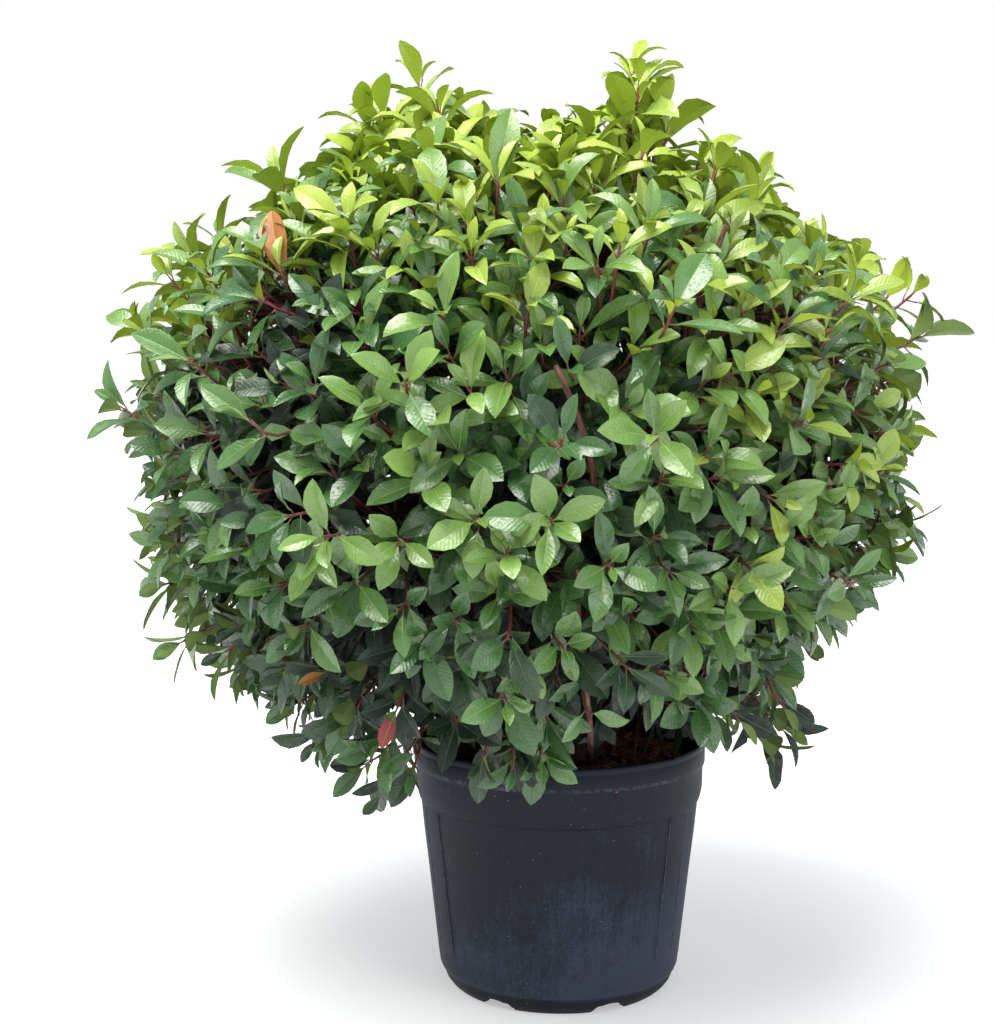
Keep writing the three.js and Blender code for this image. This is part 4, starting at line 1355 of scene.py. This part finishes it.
        # Painted light: some leaves of the outer sprays on the right get the yellower olive tint of lit
        # leaves.
        painted_sunlit = (shoots.depths < 0.5) & (ways[:, 0] > 0.4) & (ways[:, 2] > -0.05)
        painted_sunlit = painted_sunlit[self.shoot] & (odd < 0.26)
        painted_sunlit &= Tint.among(numbers, Tint.FRESH, Tint.GREEN, Tint.SAGE)
        numbers[painted_sunlit] = Tint.OLIVE.number
        cooler = ((ways[:, 2] < 0.3) & (ways[:, 0] < 0.5))[self.shoot]
        numbers[cooler & Tint.among(numbers, Tint.LIME, Tint.FRESH)] = Tint.SPRING.number
        for x, z, kind in self.accents:
            nearer = 0.1 if z > 0.5 else 0.6
            away = np.hypot(self.base[:, 0] - x, self.base[:, 2] - z) + nearer * self.base[:, 1]
            front = self.detailed & (self.base[:, 1] < -0.22) & (self.face[:, 1] < -0.45)
            numbers[np.argmin(np.where(front, away, np.inf))] = kind.number
        return numbers

    def _blades(self) -> dict[str, Array]:
        """Works out the rows of every blade: its middle line, its frame there and its half widths.

        The middle line turns away from the leaf's face by an angle that grows with the 1.4th power of
        the length. The half width is a sine of the length to the power 1.18, itself to the power 0.87.

        Returns:
            Middle points, side vectors, face vectors, half widths, folds and row shares, by name.
        """
        random = self.random
        t = np.array(self.rows)
        count = len(self.length)
        between = (t[1:] + t[:-1]) / 2
        axis, up = self.axis[:, None], self.face[:, None]
        angle = (self.bend[:, None] * between**1.4)[..., None]
        steps = (np.diff(t) * self.length[:, None])[..., None]
        run = np.cumsum((np.cos(angle) * axis - np.sin(angle) * up) * steps, axis=1)
        start = self.base + self.axis * (self.stalk * self.detailed)[:, None]
        middle = start[:, None] + np.concatenate([np.zeros((count, 1, 3)), run], axis=1)
        angle = (self.bend[:, None] * t**1.4)[..., None]
        face = np.cos(angle) * up + np.sin(angle) * axis
        side = np.broadcast_to(np.cross(self.face, self.axis)[:, None], face.shape)
        twist = random.normal(0, 0.22, count)[:, None, None] * t[None, :, None]
        cosine, sine = np.cos(twist), np.sin(twist)
        side, face = cosine * side + sine * face, cosine * face - sine * side
        half = np.maximum(np.sin(np.pi * t**1.18), 0) ** 0.87
        half[0] = 0.03
        width = np.interp(self.shoots.ways[self.shoot, 2], *self.widths)
        width = width * random.normal(1, 0.09, count).clip(0.8, 1.22)
        half = half[None] * (self.length * width / 2)[:, None]
        half[:, -1] = 0.0
        fold = np.radians(self.fold * random.uniform(0.5, 1.7, count))
        return {"middle": middle, "side": side, "face": face, "half": half, "fold": fold, "t": t}

    def _add_half(
        self, surface: Surface, blades: dict[str, Array], chosen: Array, sign: int, columns: Array,
        lift: float = 0.0, under: bool = False, kept_rows: tuple[int, ...] | None = None,
    ) -> None:
        """Adds one half of the chosen blades, which narrows to one point at the tip.

        The half rises from the middle line by the fold, less towards its margin, which also waves.

        Args:
            surface: gets the faces.
            blades: the grids of all blades.
            chosen: the numbers of the blades.
            sign: -1 or 1 for the half.
            columns: shares of the half width.
            lift: how far the half stands over the blade's middle surface.
            under: whether it faces down.
            kept_rows: the rows that it is made from, or none for all.
        """
        kept = np.arange(len(self.rows)) if kept_rows is None else np.array(kept_rows)
        middle, side, face, half = (
            blades[name][chosen][:, kept, None] for name in ("middle", "side", "face", "half")
        )
        fold = blades["fold"][chosen, None, None]
        aside = half * columns
        wave = 0.05 * np.sin(9 * blades["t"][None, kept, None] + 40 * fold) * columns
        rise = aside * (np.sin(fold) * (1 - 0.4 * columns) + wave) + lift
        points = middle + sign * (aside * np.cos(fold))[..., None] * side + rise[..., None] * face
        run = np.linalg.norm(middle - middle[:, :1], axis=3)
        flat = np.stack(np.broadcast_arrays(sign * aside, run), axis=-1)
        count, rows, across = points.shape[:3]
        tip = (rows - 1) * across
        points, flat = (
            np.concatenate([grid[:, :-1].reshape(count, tip, -1), grid[:, -1, :1]], axis=1)
            for grid in (points, flat)
        )
        turned = (sign < 0) != under
        last = tip - across + np.arange(across - 1)
        corners = [last, np.full(across - 1, tip), last + 1]
        triangles = np.stack(corners[::-1] if turned else corners, axis=-1)
        surface.add(points, grid_faces(rows - 1, across, turned), triangles, flat)

    def dress(self) -> None:
        """Makes the blades by tint, their pale undersides, the midribs and the leaf stalks."""
        blades = self._blades()
        tints = self._tints()
        upper, lower = np.array([0.0, 0.55, 1.0]), np.array([0.0, 1.0])
        nodes = [f"foliage_{name}" for name in self.shoots.masses.names]
        for number, tint in enumerate(Tint):
            near = np.flatnonzero((tints == number) & self.detailed)
            far = np.flatnonzero((tints == number) & ~self.detailed)
            blade = Surface()
            for sign in (-1, 1):
                self._add_half(blade, blades, near, sign, upper)
                self._add_half(blade, blades, far, sign, lower, kept_rows=self.few_rows)
            blade.piece(f"leaves_{tint.name.lower()}", tint.finish.material(), tint.slot, *nodes)
        # The undersides of the bright and high leaves are pale, and lightened further as painted light
        # shining through the blades.
        pale = Tint.among(tints, *BRIGHT) | (self.shoots.ways[self.shoot, 2] > 0.22)
        for title, colour, chosen in (
            ("leaf_backs_pale_painted_backlight", "#a8bd3e", pale & self.detailed),
            ("leaf_backs_green", "#7d9455", ~pale & self.detailed),
        ):
            back, rows = Surface(), np.flatnonzero(chosen)
            for sign in (-1, 1):
                self._add_half(back, blades, rows, sign, lower, -self.under_gap, True)
            finish = LeafFinish(title, colour, roughness=0.6, coat=0.0)
            back.piece(title, finish.material(), "leaf_green")
        self._ribs_and_stalks(blades, tints)

    def _ribs_and_stalks(self, blades: dict[str, Array], tints: Array) -> None:
        """Makes the pale midribs, as narrow raised strips, and the leaf stalks, as slim tubes.

        Args:
            blades: the middle lines of the blades, and their directions, widths and folds, by name.
            tints: the tint of each leaf.
        """
        width = (self.rib_width * (1 - 0.85 * blades["t"]))[None, :, None]
        lift = width * np.sin(blades["fold"])[:, None, None] + 0.0002
        sides = [
            blades["middle"] + sign * width * blades["side"] + lift * blades["face"]
            for sign in (-1, 1)
        ]
        points = np.stack(sides, axis=2)
        faces = grid_faces(points.shape[1], 2)
        outer = self.detailed
        bright = Tint.among(tints, *BRIGHT)
        # The midribs of the dark tints are darkened too, following their painted shade.
        dim = Tint.among(tints, Tint.JADE, Tint.DEEP, Tint.SHADE)
        for title, colour, chosen in (
            ("midribs_light", "#b8c563", bright & outer),
            ("midribs_green", "#84a45e", ~bright & ~dim & outer),
            ("midribs_dim", "#53714b", dim & outer),
        ):
            ribs = Surface()
            ribs.add(points[chosen].reshape(int(chosen.sum()), -1, 3), faces, np.zeros((0, 3), int))
            ribs.piece(title, RindFinish(title, colour).material(), "leaf_green")
        stalks = Surface()
        foot = self.base[outer]
        head = blades["middle"][outer, 1]
        bow = self.face[outer] * self.bow
        third = (head - foot) / 3
        curves = np.stack([foot, foot + third - bow, foot + 2 * third - bow, head - bow * 0.4], axis=1)
        add_tubes(stalks, curves, np.array(self.stalk_radii), 3)
        stalks.piece("leaf_stalks", RindFinish("leaf_stalk_rind", "#86564a").material(), "leaf_green")


# Rows of the pot's outline: the foot ring, the outside up to the collar, and the plain wall.
FOOT, OUTSIDE, WALL = slice(0, 16), slice(13, 25), slice(19, 24)


@dataclass
class NurseryPot:
    """The moulded pot: rolled rim, collar, tapering wall with six flat strips, foot with drain gaps."""

    height: float = 0.325
    rim_radius: float = 0.190
    strip_turn: float = -93.5
    strip_width: float = 0.040
    strip_depth: float = 0.0014
    strip_edge: float = 0.0012  # over which a strip rises
    strip_foot: float = 0.0570
    strip_top: float = 0.2490
    bead_radius: float = 0.0007
    gap_turn: float = -63.0
    gap_width: float = 0.046
    gap_height: float = 0.012
    foot_radius: float = 0.14
    sides: int = 360

    def _profile(self) -> Array:
        """The closed outline of the wall as radius and height, up the outside and down the inside.

        Returns:
            (corners, 2) radii and heights.
        """
        outline = (
            (0.0, 0.0), (0.06, 0.0), (0.104, 0.0), (0.106, 0.004), (0.108, 0.01),
            (0.129, 0.01), (0.1295, 0.001), (0.1305, 0.0), (0.1385, 0.0), (0.14, 0.001),
            (0.144, 0.0045), (0.1485, 0.0105), (0.151, 0.017), (0.1518, 0.0215), (0.1545, 0.0235),
            (0.1568, 0.029), (0.1575, 0.035), (0.159, 0.045), (0.16, 0.057), (0.1606, 0.06),
            (0.166, 0.11), (0.1715, 0.16), (0.177, 0.206), (0.1808, 0.244), (0.1812, 0.2475),
            (0.1832, 0.249), (0.1845, 0.253), (0.1862, 0.261), (0.1868, 0.266), (0.1872, 0.29),
            (0.1876, 0.2938), (0.1893, 0.295), (0.1899, 0.297), (0.19, 0.315), (0.1894, 0.316),
            (0.1894, 0.3172), (0.19, 0.3182), (0.1899, 0.3225), (0.189, 0.3245), (0.1878, 0.325),
            (0.1862, 0.3248), (0.185, 0.3235), (0.1842, 0.32), (0.183, 0.294), (0.1772, 0.246),
            (0.1715, 0.196), (0.1635, 0.12), (0.1545, 0.04), (0.145, 0.015), (0.07, 0.013),
            (0.0, 0.013),
        )
        return np.array(outline)

    def _wobble(self, angles: Array, height: Array) -> Array:
        """How far the soft wall stands out of round: slow waves that grow with the height."""
        waves = 0.0006 * np.sin(2 * angles + 0.7) + 0.0003 * np.sin(5 * angles + 2.1)
        return waves * np.clip(height - 0.06, 0, None) / self.height

    def _painted_edge_highlights(self) -> None:
        """Makes the thin pale beads of painted highlight along both edges of each strip but the front
        one.
        """
        turns = np.radians(self.strip_turn + np.arange(2, 12) // 2 * 60)[:, None]
        sides = np.where(np.arange(2, 12) % 2, 1, -1)[:, None]
        height = np.linspace(self.strip_foot + 0.005, self.strip_top - 0.005, 4)[None]
        wall = np.interp(height, *self._profile()[WALL, ::-1].T)
        angle = turns + sides * (self.strip_width / 2 - 0.0008) / wall
        out = wall + self.strip_depth + self._wobble(angle, height) - 0.0002
        first, second, third, last = polar(out, angle, height).swapaxes(0, 1)
        knees = (-5 * first + 18 * second - 9 * third + 2 * last) / 6
        elbows = (2 * first - 9 * second + 18 * third - 5 * last) / 6
        beads = Surface()
        curves = np.stack([first, knees, elbows, last], axis=1)
        add_tubes(beads, curves, np.full(12, self.bead_radius), 6)
        # The beads' pale colour is a painted highlight along the strip edges.
        finish = MulchFinish("polypropylene_painted_edge_highlight", "#2a303f", "#565d6e")
        beads.piece("strip_edges", finish.material(), "pot")

    def dress(self, plastic: bpy.types.Material) -> None:
        """Turns the outline round Z, presses out the strips and lifts the foot over the drain gaps.

        A strip stands proud by a smooth step across its edges, between its foot and the collar. A drain
        gap is half an ellipse: under it each point of the foot is lifted to the ellipse.

        Args:
            plastic: the material of the pot.
        """
        profile = self._profile()
        angles = round_turns(self.sides)
        radius = np.repeat(profile[:, :1], self.sides, axis=1)
        height = np.repeat(profile[:, 1:], self.sides, axis=1)
        row = np.arange(len(profile))[:, None]
        outside = (row >= OUTSIDE.start) & (row < OUTSIDE.stop)
        sixth = np.pi / 3
        from_strip = (angles - np.radians(self.strip_turn) + sixth / 2) % sixth - sixth / 2
        edge = (self.strip_width / 2 - np.abs(from_strip)[None] * radius) / self.strip_edge
        inside_strip = 1 / (1 + np.exp(-np.clip(edge, -30, 30)))
        above, below = (height - self.strip_foot) / 0.003, (self.strip_top - height) / 0.002
        span = np.clip(above, 0, 1) * np.clip(below, 0, 1)
        radius = radius + np.where(outside, self.strip_depth * inside_strip * span, 0)
        radius = radius + np.where(radius > 0.1, self._wobble(angles[None], height), 0)
        from_gap = (angles - np.radians(self.gap_turn) + sixth / 2) % sixth - sixth / 2
        aside = np.abs(from_gap)[None] * self.foot_radius / (self.gap_width / 2)
        arch = self.gap_height * np.sqrt(np.clip(1 - aside**2, 0, 1))
        foot = (radius > 0.125) & (row < FOOT.stop)
        lifted = np.maximum(height, arch + (height > 0) * 0.0002)
        height = np.where(foot, lifted, height)
        body = polar(radius, angles, height)[1:-1]
        self._painted_edge_highlights()
        surface = Surface()
        centres = np.array([[0, 0, profile[0, 1]], [0, 0, profile[-1, 1]]])
        points = np.concatenate([body.reshape(-1, 3), centres])
        surface.add(points[None], *tube_faces(len(body), self.sides))
        surface.piece("nursery_pot", plastic, "pot", "pot")


@dataclass
class Mulch:
    """The soil's crumbly surface, with shreds of bark lying over one another on it."""

    radius: float = 0.1815
    top: float = 0.297
    underside: float = 0.25
    rings: int = 36
    sides: int = 120
    shreds: int = 620
    lengths: Pair = (0.012, 0.045)
    widths: Pair = (0.003, 0.010)
    depths: Pair = (0.0012, 0.004)
    seed: int = 29

    def _height(self, x: Array, y: Array) -> Array:
        """The surface's height: low waves of several lengths, sunk a little at the pot's wall.

        Args:
            x: places across.
            y: places from front to back.

        Returns:
            The height at each place.
        """
        waves = 0.0022 * np.sin(41 * x + 3 * np.sin(23 * y)) + 0.0018 * np.sin(57 * y - 19 * x + 1)
        fine = 0.0012 * np.sin(190 * x + 2 * np.sin(150 * y)) * np.sin(170 * y)
        away = np.hypot(x, y) / self.radius
        return self.top + waves + fine - 0.006 * away**6

    def _bed(self) -> Surface:
        """The soil as a closed body: a top of waves on rings of points, and a flat underside.

        Returns:
            The closed body.
        """
        share = np.linspace(0, 1, self.rings + 1)[1:, None]
        top = polar(share * self.radius, round_turns(self.sides), self.top)
        top[..., 2] = self._height(top[..., 0], top[..., 1])
        under = top.copy()
        under[..., 2] = self.underside
        under[..., :2] *= 0.96
        quads, ends = tube_faces(2 * self.rings, self.sides)
        points = np.concatenate([top, under[::-1]]).reshape(-1, 3)
        middle = np.array([[0, 0, self.top], [0, 0, self.underside]])
        surface = Surface()
        surface.add(np.concatenate([points, middle])[None], quads[:, ::-1], ends[:, ::-1])
        return surface

    def _shreds(self, count: int, random: np.random.Generator) -> Surface:
        """Flat splinters of four corners round, widest in the middle, which lie as they fell.

        Args:
            count: how many.
            random: where their places, sizes and turns come from.

        Returns:
            All of them as one surface.
        """
        distance = self.radius * 0.95 * np.sqrt(random.uniform(0, 1, count))
        turn = random.uniform(0, 2 * np.pi, count)
        x, y = distance * np.cos(turn), distance * np.sin(turn)
        length, width, depth = (
            random.uniform(*limits, count) for limits in (self.lengths, self.widths, self.depths)
        )
        heading = random.uniform(0, 2 * np.pi, count)
        tilt = random.normal(0, 0.22, count)
        along = unit(np.stack([np.cos(heading), np.sin(heading), tilt], axis=1))
        across = unit(np.cross(np.broadcast_to(UP, along.shape), along))
        over = np.cross(along, across)
        centre = np.stack([x, y, self._height(x, y) + depth * 0.5 + 0.001], axis=1)
        stations = np.array([-0.5, -0.2, 0.25, 0.5])
        girth = np.array([0.45, 1.0, 0.85, 0.3])[None, :] * random.uniform(0.8, 1.2, (count, 4))
        around = np.array([[-0.5, -0.3], [0.5, -0.5], [0.5, 0.4], [-0.5, 0.5]])
        wide, deep = (
            (around[:, side] * girth[..., None] * size[:, None, None])[..., None] * way[:, None, None]
            for side, size, way in ((0, width, across), (1, depth, over))
        )
        spine = centre[:, None] + (stations * length[:, None])[..., None] * along[:, None]
        wall = (spine[:, :, None] + (wide + deep)).reshape(count, -1, 3)
        ends = spine[:, [0, -1]]
        surface = Surface()
        surface.add(np.concatenate([wall, ends], axis=1), *tube_faces(4, 4))
        return surface

    def dress(self) -> None:
        """Makes the bed, and the shreds in three shades of bark."""
        random = np.random.default_rng(self.seed)
        soil = MulchFinish("damp_soil", "#140e0b", "#3a281e")
        self._bed().piece("soil_bed", soil.material(), "mulch", "soil")
        for title, dark, pale, share in (
            ("bark_shreds_brown", "#3a2318", "#7a5036", 0.42),
            ("bark_shreds_russet", "#6a3320", "#b5704a", 0.38),
            ("bark_shreds_grey", "#4a4038", "#95836f", 0.2),
        ):
            shreds = self._shreds(int(self.shreds * share), random)
            finish = MulchFinish(title, dark, pale, grain=0.003)
            shreds.piece(title, finish.material(), "mulch", smooth=False)


@dataclass(frozen=True)
class FloorFinish(Finish):
    """White matt paint, lit a little from within, and more so away from the middle."""

    colour: str = "#cfcfce"
    glow: str = "#ffffff"
    rise: tuple[float, float, float, float] = (0.35, 1.5, 0.42, 0.85)  # two distances, and the glow there

    def lay_out(self, tree: bpy.types.NodeTree) -> tuple[Values, Values]:
        """Adds the nodes of the patterns.

        Args:
            tree: the material's node tree.

        Returns:
            The surface's settings, and its links.
        """
        body = add_node(tree, "TexCoord", {}).outputs["Object"]
        away = add_node(tree, "VectorMath", {"operation": "LENGTH"}, {0: body}).outputs["Value"]
        glow = add_node(tree, "MapRange", dict(zip(SPAN, self.rise)), {"Value": away})
        looks = {"Base Color": linear(self.colour), "Roughness": 0.9}
        return looks | {"Emission Color": linear(self.glow)}, {"Emission Strength": glow}


@dataclass
class Studio:
    """A pale floor, soft light from above and the camera at the photograph's viewing angle."""

    eye: Triple = (0.0, -2.4, 0.865)
    pitch: float = -0.102
    yaw: float = -0.034
    focal_pixels: float = 1860.0
    frame_height: int = 1024
    sensor: float = 36.0
    overhead: float = 0.55  # the sky above the white band round the horizon
    # Name, place, side, power and colour.
    lamps: tuple[tuple[str, Triple, float, float, str], ...] = (
        ("key", (-0.7, -1.2, 3.6), 2.6, 228.0, "#fffef8"),
        ("fill", (2.2, -2.2, 1.9), 1.6, 18.0, "#f4f8ff"),
    )
    aim: Triple = (0.0, 0.0, 0.6)
    floor_radius: float = 40.0
    floor_sides: int = 96
    floor_drop: float = 0.0005  # below the pot's underside

    def camera(self) -> None:
        """Makes the camera, turned by the pitch and the yaw, with the lens for the focal length."""
        data = bpy.data.cameras.new("camera")
        data.sensor_width = self.sensor
        data.lens = self.focal_pixels / self.frame_height * self.sensor
        data.clip_end = 100.0
        made = bpy.data.objects.new("camera", data)
        made.location = self.eye
        made.rotation_euler = (np.pi / 2 + self.pitch, 0.0, -self.yaw)
        bpy.context.scene.collection.objects.link(made)
        bpy.context.scene.camera = made

    def lamp(self, name: str, place: Triple, size: float, power: float, colour: str) -> None:
        """Makes a square area light that faces the middle of the plant.

        Args:
            name: the light's name.
            place: where its middle is.
            size: its side, in metres.
            power: watts.
            colour: a hex value.
        """
        data = bpy.data.lights.new(name, "AREA")
        data.shape = "SQUARE"
        data.size = size
        data.energy = power
        data.color = linear(colour)[:3]
        made = bpy.data.objects.new(name, data)
        made.location = place
        aim = np.array(self.aim) - np.array(place)
        flat = np.hypot(aim[0], aim[1])
        made.rotation_euler = (np.arctan2(flat, -aim[2]), 0.0, np.arctan2(aim[1], aim[0]) - np.pi / 2)
        bpy.context.scene.collection.objects.link(made)

    def floor(self) -> None:
        """Makes the floor: one wide, matt, nearly white disc, lit from within away from the pot."""
        rim = polar(self.floor_radius, round_turns(self.floor_sides), -self.floor_drop)
        mesh = bpy.data.meshes.new("floor")
        mesh.from_pydata(rim.tolist(), [], [list(range(self.floor_sides))])
        mesh.materials.append(FloorFinish("pale_floor").material())
        made = bpy.data.objects.new("floor", mesh)
        bpy.context.scene.collection.objects.link(made)

    def set_up(self) -> None:
        """Makes the world, a white band that dims overhead, the floor, the lights and the camera."""
        scene = bpy.context.scene
        scene.view_settings.view_transform = "Standard"
        world = bpy.data.worlds.new("studio")
        world.use_nodes = True
        world.node_tree.nodes.clear()
        tree = world.node_tree
        way = add_node(tree, "TexCoord", {}).outputs["Object"]
        height = add_node(tree, "SeparateXYZ", {}, {"Vector": way}).outputs["Z"]
        span = (0.2, 0.5, 1.0, self.overhead)
        glow = add_node(tree, "MapRange", dict(zip(SPAN, span)), {"Value": height})
        stops = [(0.2, "#ffffff"), (0.6, "#e6efff")]
        cool = add_node(tree, "ValToRGB", {"stops": stops}, {"Fac": height})
        sky = add_node(tree, "Background", {}, {"Strength": glow, "Color": cool})
        add_node(tree, "OutputWorld", {}, {"Surface": sky})
        scene.world = world
        self.floor()
        for lamp in self.lamps:
            self.lamp(*lamp)
        self.camera()


def main() -> None:
    """Builds the studio and every sub-assembly."""
    logging.basicConfig(level=logging.INFO, format="%(message)s")
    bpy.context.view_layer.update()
    Studio().set_up()
    crown = CrownShape()
    masses = Masses()
    bark = BarkFinish("shrub_bark").material()
    limbs = Limbs(crown, masses)
    limbs.dress(bark)
    shoots = Shoots(crown, masses, limbs)
    shoots.dress(bark)
    LOG.info("%d shoots", len(shoots.curves))
    foliage = Foliage(crown, shoots)
    LOG.info("%d leaves", len(foliage.length))
    foliage.dress()
    NurseryPot().dress(PotFinish().material())
    Mulch().dress()


if __name__ == "__main__":
    main()
